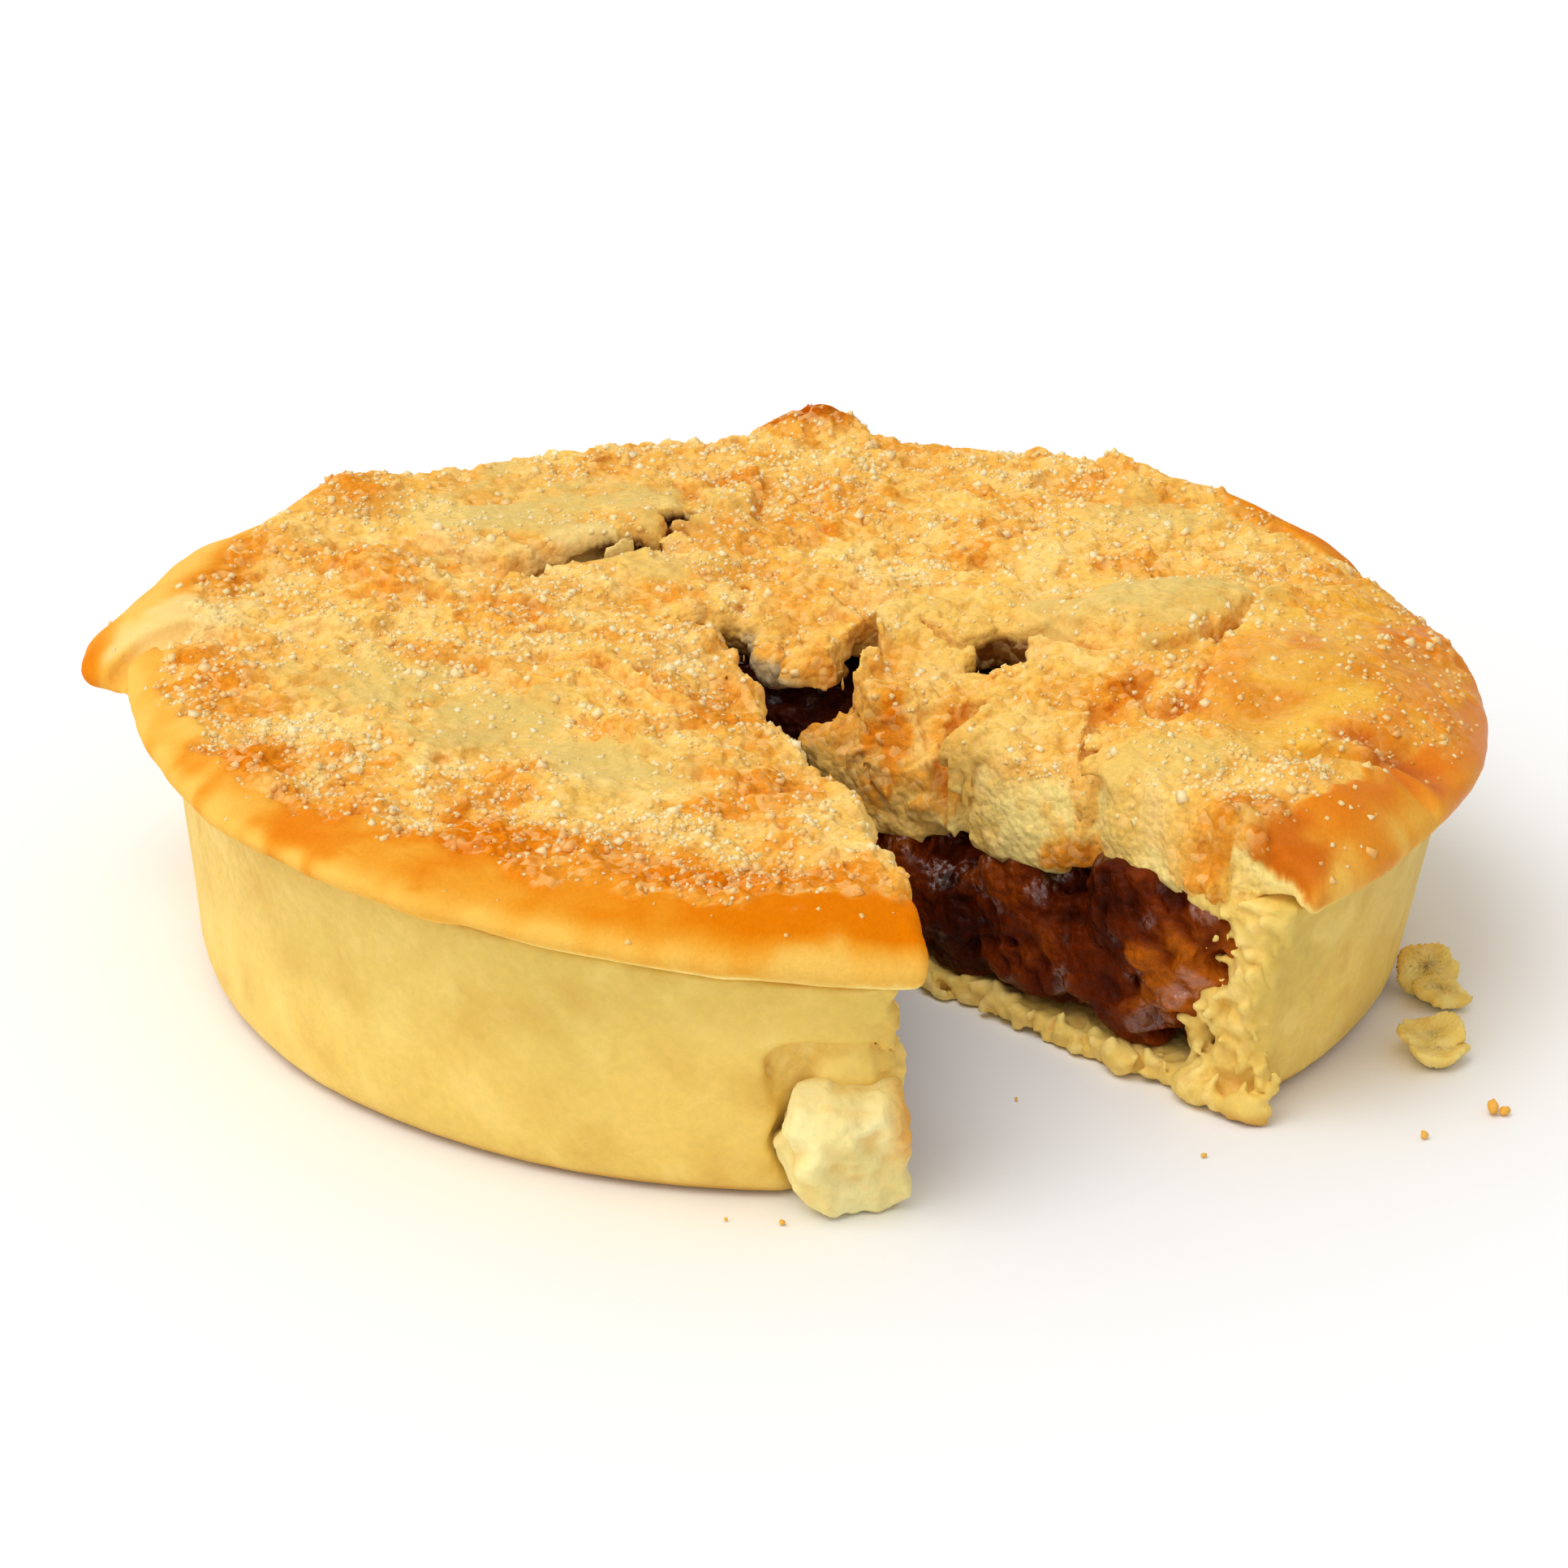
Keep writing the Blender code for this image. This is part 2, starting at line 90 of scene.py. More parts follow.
# Patches of the lid, each a centre, two half lengths, a turn and a strength. Then how far each kind
# of patch wobbles and how soft its edge is.
GREEN_PATCHES = (
    (-37, -8.5, 7, 5.5, -20, 0.8),
    (-27.5, -16.5, 10, 5.5, -40, 1),
    (-17, -25, 8.5, 3.8, -38, 0.95),
    (-27, 28.5, 13, 9, -8, 1),
    (-15, 30.5, 8, 5.5, 20, 0.95),
    (33.8, 31.5, 6, 5, 0, 0.7),
    (31, 5.5, 10, 6, 8, 1),
    (30, -28, 8.5, 3.4, 12, 0.8),
    (44, -13, 5, 6, 0, 0.55),
    (13.5, -18.5, 4, 3.4, 0, 0.6),
    (-12, 18, 3.5, 5, 20, 0.7),
)
BROWN_PATCHES = (
    (-43.5, 35, 5, 7.5, 40, 0.75),
    (-52.5, 17, 2.6, 7, -12, 0.6),
    (-50, -12.7, 3.6, 7, 20, 0.75),
    (-45, -25.5, 4.5, 6.5, 35, 0.9),
    (-37, -35, 6.5, 5.5, -35, 1),
    (-25.5, -42, 8, 5, -28, 1),
    (-13, -47, 8, 4.6, -15, 1),
    (-1, -49.5, 7, 4, -5, 0.8),
    (-30, -33, 6, 3, -30, 0.6),
    (-6, -38, 6, 3, -10, 0.45),
    (1.6, 57.6, 5, 4.5, 0, 1),
    (46.5, 31, 8, 4.5, -40, 0.75),
    (36.5, -8.5, 2.6, 9, -20, 0.8),
    (50, -20.5, 5.5, 5, 0, 1),
    (43, -34.5, 6, 6.5, 40, 0.65),
    (57, -8, 5, 16, 0, 0.7),
    (54, 20, 4, 10, 20, 0.5),
    (-4, 25.7, 6, 4.5, 0, 0.5),
    (1, 13.5, 7, 4, 0, 0.25),
    (-10, -10.5, 5, 4, -40, 0.45),
    (-2, -31.5, 4.5, 3.5, 0, 0.6),
    (23.9, -12, 5, 3.6, -20, 0.5),
    (7.9, -11.3, 1.4, 2.2, 0, 1),
    (9.2, -25.5, 1.8, 2.4, 0, 0.8),
    (-7.6, 38.5, 3.4, 3, 0, 0.75),
    (-24, 14, 8, 3, -20, 0.3),
)
DARK_PATCHES = (
    (50.5, -22.5, 2.6, 2.4, 0, 1),
    (46.5, -20.5, 1.8, 1.4, 0, 0.7),
    (40.8, -39, 2.8, 4.2, 40, 0.5),
    (0.7, 57, 3.8, 3, 0, 1),
    (32.5, -12.5, 1.6, 2, 0, 0.45),
    (29, -9.2, 1.6, 1.8, 0, 0.4),
)
PALE_PATCHES = (
    (13.5, 5, 5, 7, 0, 0.9),
    (20.5, -7, 5, 4, 0, 0.7),
    (-17.8, -35.5, 3.6, 2.6, 0, 0.8),
    (4.5, -7, 3, 3, 0, 0.5),
    (-1.5, 5.8, 3, 2.4, 0, 0.9),
    (33, -25.5, 6.5, 4, 12, 0.6),
    (17.5, -15.5, 5, 4.5, -30, 0.6),
)
SMOOTH_PATCHES = (
    (-55, 5.6, 6, 5, 0, 1),
    (-32.5, 21.6, 6.5, 1.8, -34, 0.8),
    (-21.5, 20.8, 6.5, 1.8, 25, 0.8),
)
GLAZED_PATCHES = (
    (47.5, -12, 13, 17, 0, 1),
    (43.5, -35, 8.5, 7, -40, 0.6),
    (52, 6, 6.5, 11, 0, 0.5),
)
SUGARY_PATCHES = (
    (-50.2, -5.3, 4.5, 7.6, 0, 1),
    (-43, -24, 6, 7, 35, 0.9),
    (-28, -37, 12, 5, -30, 0.8),
    (-8, -43, 10, 5, -12, 0.7),
    (50, -10, 8, 10, 0, 0.2),
    (38.5, -32, 5, 5, 0, 0.9),
    (44, -36, 5, 4, -40, 0.35),
    (-43, 33, 5, 6, 0, 0.6),
)
LID_PATCHES = {
    "green": (1.6, 0.55, GREEN_PATCHES),
    "brown": (1.6, 0.6, BROWN_PATCHES),
    "dark": (1.4, 0.6, DARK_PATCHES),
    "pale": (1, 0.35, PALE_PATCHES),
    "smooth": (1, 0.35, SMOOTH_PATCHES),
    "glazed": (0.5, 0.25, GLAZED_PATCHES),
}

# The band of smooth crust outside the sugared crown starts at this radius, moved by bumps. Each bump
# of the band is an azimuth, a width in degrees and an amount.
BAND_RADIUS = 53.6
BAND_BUMPS = (
    (115, 48, 7), (-170, 12, 2.4), (-148, 7, 1.6), (-124, 11, -1.6), (-60, 20, -2), (-8, 24, 4.5),
)
BAND_BROWNING = (
    (-84, 20, 0.8), (-80, 6, 0.4), (-118, 25, 0.3), (-30, 40, 0.4), (150, 25, 0.5), (40, 30, 0.5),
)
BAND_TIP = ((176, 5, 0.9),)
# A painted shade on the right of the band, where it turns away from the light.
BAND_RIGHT_SHADE = ((-8, 26, 0.5),)
BAND_PALE_RIM = ((-40, 9, 1),)

# Steps of the lid, each a line, the rise on its left side (on its right where it is less than 0), how
# far it reaches back and how ragged it is.
STEPS = (
    (
        ((-5.8, -32.4), (-10.6, -27.7), (-15.6, -21.6), (-20.6, -15.1), (-27.4, -5.4), (-34.9, -0.7)),
        -0.8, 6, 0.8,
    ),
    (((-7.5, -15), (-10.6, -15.4), (-14.1, -10.9), (-17.5, -7.4), (-21.2, -3.7)), -1.1, 4, 1.2),
    (((-18.9, 2.3), (-21.4, 1.7), (-23.9, 2.7)), -0.7, 4, 0.8),
    (((-8.5, 28.6), (-15.6, 22.8), (-27.3, 17.2), (-38.2, 24.5)), -0.7, 8, 0.7),
    (((-6.3, 29.5), (-5.5, 26.8), (-10.2, 17.3), (-12.3, 10.2)), 0.8, 5, 0.9),
    (((21.9, 5.4), (25.9, -0.4), (29.4, -2.3), (33.6, -2.3), (38.2, 1.5), (40.8, 7.4)), 1, 7, 0.8),
    (((-6.3, 30), (-8.3, 32.2), (-12.2, 38.8)), -0.8, 5, 0.6),
    (((-5.5, 26.8), (-3.7, 36), (-4.5, 43.4)), 0.8, 4, 0.6),
    (
        ((52.2, 11.5), (47.7, 10.9), (41.6, 7.6), (38.5, 2), (36.5, -1.8), (35.4, -7.4), (32.7, -15.4)),
        0.9, 6, 0.5,
    ),
    (((-20, 8), (-29, 9.8), (-37, 12.5), (-45, 19.5)), -0.8, 4, 1.2),
    (((-35, 2), (-41, 0.8), (-48, 4.5)), -0.8, 4, 1.2),
    (((-6, -20), (-11, -20.5), (-17, -12.5), (-22, -8)), -0.7, 3, 1.2),
    (((23, -27.5), (22.6, -24), (24.5, -19), (30, -20.5), (38, -20)), -0.9, 7, 0.6),
    (((12, -19), (13, -15), (16.5, -11.5), (22, -10.5)), -1, 8, 0.8),
    (((8, 12), (5, 18), (7, 26)), 0.5, 4, 1.4),
    (((26, 20), (18, 24), (12, 34)), 0.5, 4, 1.4),
)

# Layers of flaky crust: the length and seed of their outline, where they start and how thick they are.
FLAKY_LAYERS = (
    (8, 11, 0.4, 0.42),
    (5.5, 12, 0.6, 0.38),
    (3.6, 13, 0.8, 0.3),
    (2.4, 14, 1, 0.24),
    (1.6, 15, 0.9, 0.18),
    (1.1, 16, 0.9, 0.16),
)

# Low swellings and dents of the lid, each a centre, two half lengths, a turn and a height.
SWELLINGS = (
    (44.5, -9, 7.5, 6.5, 0, 0.9),
    (43.5, -33, 6.5, 5, -40, 0.9),
    (49, 4, 5, 6, 20, 0.6),
    (31.5, 5.5, 8, 5, 8, 1.7),
    (50.8, -21.8, 3.4, 2, -10, -1.2),
    (45.5, -20.5, 2.6, 1.6, 0, -0.8),
    (39.5, -16, 5, 3, 30, -0.8),
    (29.5, -9, 1.4, 1.8, 0, -1),
    (30.3, -14, 1.4, 1.6, 0, -1),
    (33, -12.2, 1.4, 1.4, 0, -0.9),
    (27.6, -15.6, 1.2, 1.2, 0, -0.7),
    (-24, -20, 12, 3.5, -38, -0.4),
    (1.8, 57.5, 4.5, 4, 0, 0.9),
    (-42.5, 37, 6, 4, 40, 0.9),
    (-24, 47, 8, 4, 10, 0.4),
)

# Cracks of the lid, each a line, its width, its depth and how ragged it is.
CRACKS = (
    (
        ((11.2, 5.3), (13.8, 2.4), (16, 2.8), (19.5, 2.6), (21.8, 3.4), (23.7, -0.4), (27.2, -2.3)),
        1, 1.8, 0.7,
    ),
    (((-15.6, 22.8), (-27.3, 17.2), (-33, 20.8)), 0.7, 1.5, 0.5),
    (((-4.6, 30), (-3.9, 35.5), (-5.5, 38)), 0.7, 1.2, 0.6),
    (((-8.3, 32.2), (-12.2, 38.8)), 0.7, 1, 0.5),
    (((28, -9), (31, -13.5), (34, -14.5)), 0.8, 0.8, 0.5),
    (((36, 2.2), (37, -4), (34.5, -9), (33.5, -15)), 0.7, 0.6, 0.4),
    (((-14, -8.6), (-10.6, -12.6), (-7.5, -13)), 0.8, 1.2, 0.7),
)

# Slots right through the lid, each a line, its width, how ragged it is and how much painted shade it gets
# inside:
# 0 none, as the crust is, 1 painted shade from below the surface and 2 painted shade right up to it.
SLOTS = (
    (((-11, 28.6), (-14.2, 25.4)), 1.3, 0.5, 2),
    (((-15.4, 23.6), (-19.2, 21)), 1.1, 0.5, 2),
    (((7, 5), (5.2, -0.6), (3.2, -4.4), (0.8, -7.6)), 3.2, 0.4, 0),
    (((-1.4, -5.4), (3.6, -5)), 2.4, 0.5, 0),
    (((15.3, 1.4), (19.3, 2)), 3.6, 0.5, 1),
)

# Grooves of the lid, each a line of places with a depth below the surface, and a radius.
GROOVES = (
    (
        ((15, -9, 0), (13.8, -12.6, 0.4), (13.2, -15, 1.2), (12.6, -17, 3.5), (12.2, -17.8, 7.5)),
        1.8,
    ),
    (
        ((26, -13.5, 0.1), (25.4, -18.5, 0.1), (24.4, -23.5, 0.5), (23.8, -26.4, 2), (23.4, -27.2, 8)),
        1.5,
    ),
    (((41.7, -24.6, 0), (48.5, -24.4, 0.1), (54, -28.6, 0)), 0.9),
    (((-60.5, 0, 0.6), (-58, 1.8, 0.1), (-55, 2.2, 0), (-50.5, -0.8, 0)), 1.3),
    (((0.5, 53, 0), (4, 50.5, 0), (8, 50, 0)), 0.5),
    (((-10.4, 30, 1.5), (-14.2, 26.6, 1.6), (-17.6, 23.5, 1.6), (-21, 21.2, 1.5)), 1),
    (((26, 0.4, 1.4), (29.4, -1.4, 1.5), (33.6, -1.4, 1.5), (38, 2.2, 1.3)), 0.7),
)

# Hollows of the lid, each a centre, half sizes, a turn, a power and a join: before the ear of the left
# flap, and where the crust sags between the first two lumps at the cut. Then those below the tongue.
HOLLOWS = (
    ((-62.4, -4.2, 20.5), (3.2, 4.6, 9), 0, 4, 0.5),
    ((9.6, -13.3, 28.2), (5.2, 5.4, 6.6), RIGHT_CUT_AZIMUTH, 2, 1.5),
)
POINT_HOLLOWS = (
    ((2.4, -8.2, 26), (2.8, 2.8, 3.1), 0, 3, 1.2),
    ((0.9, -6.2, 25.6), (3.9, 3.2, 3.3), 0, 4, 0.8),
)

# Lumps that fill the lid at the very point of the cut and at the near end of the first lump there.
POINT_LUMPS = (
    ((-10.4, 9.2, 24.2), (2.8, 2, 2.3)),
    ((2, -5.8, 20), (2.6, 1.9, 2.4)),
)

# The edge of the lid at the left side of the cut, above its leaning face, and its radius.
LEFT_EDGE = (
    (-8.2, 2.2, 24.8),
    (-6.8, -1.6, 24.8),
    (-4.7, -9, 24.6),
    (-3.3, -16.8, 24.3),
    (0.2, -24.7, 24.2),
    (3.2, -29.8, 24.1),
    (4.8, -35, 24),
)
LEFT_EDGE_RADIUS = 1.5

# Strands of crust inside the hole at the point of the cut, each a line and a radius.
STRANDS = (
    (((-3.8, 11, 24.6), (-3.1, 6, 23.9), (-2.2, 1.6, 23.4)), 1.5),
    (((-5, 11, 23), (-1, 8, 22.6), (3, 4, 22.6)), 1.6),
)

# Lumps of the lid along the right side of the cut: how far along it, how far in, the height and
# half sizes.
LID_LUMPS = (
    (3.4, 2.4, 17.6, 5.2, 2.6, 3.4),
    (9.5, 2.2, 17.4, 5.6, 3.2, 4.9),
    (24.3, 2.6, 19.5, 6.6, 3.6, 5.4),
    (38.5, 3, 21.8, 6.2, 4, 5),
    (45, 1.6, 19.3, 5, 2.2, 1.7),
)

# Pieces of crust on the case: behind the broken chunk, at the foot of the right corner and in the filling.
CASE_LUMPS = (
    ((34.9, -36.2, 18.7), (2.8, 1.7, 1.5), (0, 0, -40)),
    ((38.2, -38.9, 18.4), (2.4, 1.6, 1.6), (0, 0, -35)),
    ((3.6, -51.6, 8.4), (3.4, 2.4, 6.4), (0, 0, 8)),
    ((4.6, -53, 11.6), (3.6, 2, 3.5), (0, 0, 8)),
    ((33.2, -36.6, 1.6), (2.6, 1.4, 1.4), (0, 0, -40)),
    ((36.6, -39.4, 1.5), (2.2, 1.5, 1.4), (0, 0, -30)),
    ((27, -31, 1.4), (2.4, 1.2, 1.2), (0, 0, -45)),
    ((31.6, -31.2, 9.6), (1.8, 1.4, 1.6), (20, 30, 10)),
    ((33.6, -33.4, 6.4), (1.8, 1.6, 2.6), (10, -20, 30)),
)
CORNER_CRUMBS = 60
BASE_CRUMBS = 18

# Cracks in the wall above the broken chunk, on the outside of the case.
WALL_CRACKS = (
    ((-2.6, -54.6, 13.6), (-2.9, -54.2, 12.2), (-1.4, -53.9, 10.8), (0.8, -53.8, 9.4)),
    ((-2.6, -54.6, 13.6), (0.4, -54.7, 14.8), (3.4, -54.6, 15.6), (5.2, -54.2, 15.3)),
)

# Lumps of apple at the right side of the cut: how far along it, how far in, the height and half sizes.
APPLE_LUMPS = (
    (38, 2, 14.5, 6, 4, 5.5),
    (42.5, 2, 9.5, 4, 3, 5.5),
    (32, 2.6, 9.5, 5.5, 3.5, 4.5),
    (36, 2.2, 6, 5, 3, 3),
    (24, 2.6, 11, 6, 3.6, 4.5),
    (27.5, 2.4, 6, 5, 3, 2.8),
    (17, 2.6, 8.5, 5, 3.4, 4.5),
    (11, 2.4, 10, 4.5, 3, 4.5),
    (10, 2.4, 5.5, 5, 3, 2.6),
    (44, 1.8, 16.5, 3.4, 2.6, 3.6),
    (19, 2.4, 4.6, 5, 2.6, 2),
    (4, 2.4, 9, 4.5, 3, 5),
    (48, 3.2, 13, 2.4, 2.4, 4),
)

# Flat broken faces of the chunk: which way each faces, and how deep it is cut in. Then its cracks,
# each a line and a radius.
CHUNK_FACES = (
    ((-0.30, -0.85, 0.43), 1.1),
    ((0.87, -0.43, 0.24), 1),
    ((0.05, -0.15, 0.99), 0.9),
    ((-0.90, -0.30, 0.32), 1),
    ((0.35, -0.90, -0.26), 0.7),
)
CHUNK_CRACKS = (
    (((1.2, -59.5, 8.6), (3.4, -58.6, 6), (4.6, -58.8, 2.6)), 0.5),
    (((3.4, -58.4, 6.2), (6.6, -57.6, 6.8), (9, -56, 5.6)), 0.4),
)

# Flakes beside the pie: centre, half lengths, thickness, turns, curl and seed. Then the waves of their edge.
FLAKES = (
    ((54.6, -14.4, 0), (3, 2.3), 2, (35, -18, 30), 0.4, 3),
    ((55.6, -17.6, 0), (2.6, 1.9), 1.5, (12, 8, -20), 0.5, 8),
    ((53.8, -26.8, 0), (3, 2.6), 1.6, (8, -6, 10), 0.8, 5),
    ((54.2, -29, 0), (2.8, 2), 1.3, (-6, 4, 35), 0.5, 6),
)
EDGE_WAVES = (2, 3, 5, 7, 11, 17)

# Crumbs beside the pie: place and size.
CRUMBS = (
    (51.4, -42.6, 0.7),
    (57.6, -38.2, 1.1),
    (58.6, -38.4, 0.9),
    (33, -46, 0.4),
    (18, -36, 0.3),
    (-1.5, -57.6, 0.5),
    (-6, -57, 0.3),
)

SUGAR_CRYSTALS = 7500

# Colours as they look, from 0 to 255.
CRUMB = (248, 196, 98)
CRUMB_HIGH = (254, 222, 146)
CRUMB_LOW = (218, 142, 50)
GREEN = (222, 190, 106)
BROWN = (226, 120, 10)
DARK = (182, 76, 0)
PALE = (238, 192, 94)
BAND_LOOK = (242, 188, 84)
BAND_BROWN = (224, 120, 0)
GLAZE = (228, 154, 20)
GLAZE_LIGHT = (244, 190, 62)
GLAZE_DARK = (218, 122, 0)
CUT_CRUMB = (240, 202, 104)
FACE_CRUMB = (255, 228, 140)
SMOOTH = (246, 214, 140)
WALL_HIGH = (218, 186, 90)
WALL_LOW = (240, 203, 102)
WALL_FOOT = (198, 138, 46)
CHUNK_LOOK = (255, 244, 184)
STRAND = (176, 160, 128)
# A painted shade for the insides of the slots.
HOLE_SHADE = (92, 44, 10)
SUGAR = (255, 234, 188)
APPLE = (98, 32, 0)
APPLE_HIGH = (180, 92, 8)
# A painted shade for the filling's crevices and for its top near the point of the cut.
APPLE_SHADE = (36, 6, 0)

# The colour of the lightest grains of crust, as light values.
SPARKLE_LIGHT = (1, 0.68, 0.27, 1)

# Coloured spots on the right face of the lid: how far along it and the height, a radius, a colour and
# a share.
FACE_SPOTS = (
    ((7.6, 22), 1.6, BROWN, 0.8),
    ((8.6, 17.6), 1.8, BROWN, 0.5),
    ((17, 20), 1.5, BROWN, 0.6),
    ((49, 20.5), 3.2, CUT_CRUMB, 0.5),
    ((30.4, 16.6), 2.4, BROWN, 0.75),
    ((33, 18.6), 1.4, BROWN, 0.5),
    ((20, 18), 3, PALE, 0.5),
    ((36.5, 22), 3, PALE, 0.6),
)


def ease(value, low, high):
    """0 below low, 1 above high and smooth between."""
    t = np.clip((value - low) / (high - low), 0, 1)
    return t * t * (3 - 2 * t)


def bell(value, width):
    """1 at 0, falling smoothly to nothing within about two widths."""
    return np.exp(-((value / width) ** 2))


def taper(place):
    """0 at both ends of a line and 1 at its middle, by how far along it a place is."""
    return np.sqrt(np.clip(4 * place * (1 - place), 0, 1))


def spline_weights(places, length):
    """How much each knot of a cubic spline counts at each place."""
    t = (places - places[0]) / length + 1
    cell = np.floor(t).astype(int)
    f = (t - cell).astype(np.float32)
    weights = np.zeros((len(places), cell[-1] + 3), np.float32)
    rows = np.arange(len(places))
    weights[rows, cell - 1] = (1 - f) ** 3 / 6
    weights[rows, cell] = (3 * f**3 - 6 * f**2 + 4) / 6
    weights[rows, cell + 1] = (-3 * f**3 + 3 * f**2 + 3 * f + 1) / 6
    weights[rows, cell + 2] = f**3 / 6
    return weights


def spline_noise(axes, length, seed):
    """Smooth noise with lumps of the given length and a spread of 1, on the grid of the axes."""
    weights = [spline_weights(axis, length) for axis in axes]
    shape = [w.shape[1] for w in weights]
    field = np.random.default_rng(seed).standard_normal(shape).astype(np.float32)
    for w in weights:
        field = np.tensordot(field, w, axes=(0, 1))
    return field / field.std()


def line_distance(x, y, line):
    """Distance to a line of points, positive on its left, and how far along it the nearest place is."""
    best = np.full(np.broadcast(x, y).shape, FAR_OFF, np.float32)
    side, place, done = np.zeros_like(best), np.zeros_like(best), 0.0
    for (ax, ay), (bx, by) in zip(line, line[1:]):
        length = math.dist((ax, ay), (bx, by))
        dx, dy = (bx - ax) / length, (by - ay) / length
        along = np.clip((x - ax) * dx + (y - ay) * dy, 0, length)
        away = np.hypot(x - ax - along * dx, y - ay - along * dy)
        near = away < best
        best = np.where(near, away, best)
        side = np.where(near, np.where((y - ay) * dx < (x - ax) * dy, -1, 1), side)
        place = np.where(near, done + along, place)
        done += length
    return best * side, place / done


def oval_places(x, y, oval):
    """How far places are along and across a turned oval, as shares of its half lengths."""
    cx, cy, half_x, half_y, turn = oval
    c, s = math.cos(math.radians(turn)), math.sin(math.radians(turn))
    return ((x - cx) * c + (y - cy) * s) / half_x, ((y - cy) * c - (x - cx) * s) / half_y


def patches(x, y, ragged, spots, soft=0.35):
    """Where the patches are, from 0 to 1, with ragged edges."""
    total = np.zeros(np.broadcast(x, y).shape, np.float32)
    for *oval, strength in spots:
        inside = 1 - np.hypot(*oval_places(x, y, oval)) + ragged * 0.25
        total = np.maximum(total, strength * ease(inside, -soft, soft))
    return total


def ring_bumps(azimuth, bumps):
    """The sum of bumps round the pie, each an azimuth, a width in degrees and an amount."""
    total = 0.0
    for centre, width, amount in bumps:
        away = (azimuth - centre + 180) % 360 - 180
        total = total + amount * bell(away, width)
    return total


def wedge_line(apex, shift):
    """The outline of the wedge from above, from the left end of the rim to the right one."""
    x0, y0 = RIGHT_CUT_START
    left = [(x + shift, y) for x, y in LEFT_CUT]
    return [*left, *apex, (x0, y0), (x0 + RIGHT_CUT_REACH * CUT_COS, y0 + RIGHT_CUT_REACH * CUT_SIN)]


def right_cut_point(along, inside, z):
    """A point on the right side of the cut, by its distance along it and into the pie."""
    x0, y0 = RIGHT_CUT_START
    return x0 + along * CUT_COS - inside * CUT_SIN, y0 + along * CUT_SIN + inside * CUT_COS, z


def right_cut_place(points):
    """How far points are along the right side of the cut and into the pie from it."""
    x, y = points[:, 0] - RIGHT_CUT_START[0], points[:, 1] - RIGHT_CUT_START[1]
    return x * CUT_COS + y * CUT_SIN, y * CUT_COS - x * CUT_SIN


def filled(top):
    """The height map with its empty places near the solid filled from beside them."""
    for _ in range(FILL_CELLS):
        beside = np.maximum.reduce([np.roll(top, step, axis) for axis in (0, 1) for step in (-1, 1)])
        top = np.where(top > 0, top, beside)
    return top


def read(items, field, width=1, kind=np.float32):
    """One field of all the items of a mesh, with a row for each where it has several values."""
    values = np.empty(len(items) * width, kind)
    items.foreach_get(field, values)
    return values.reshape(-1, width) if width > 1 else values


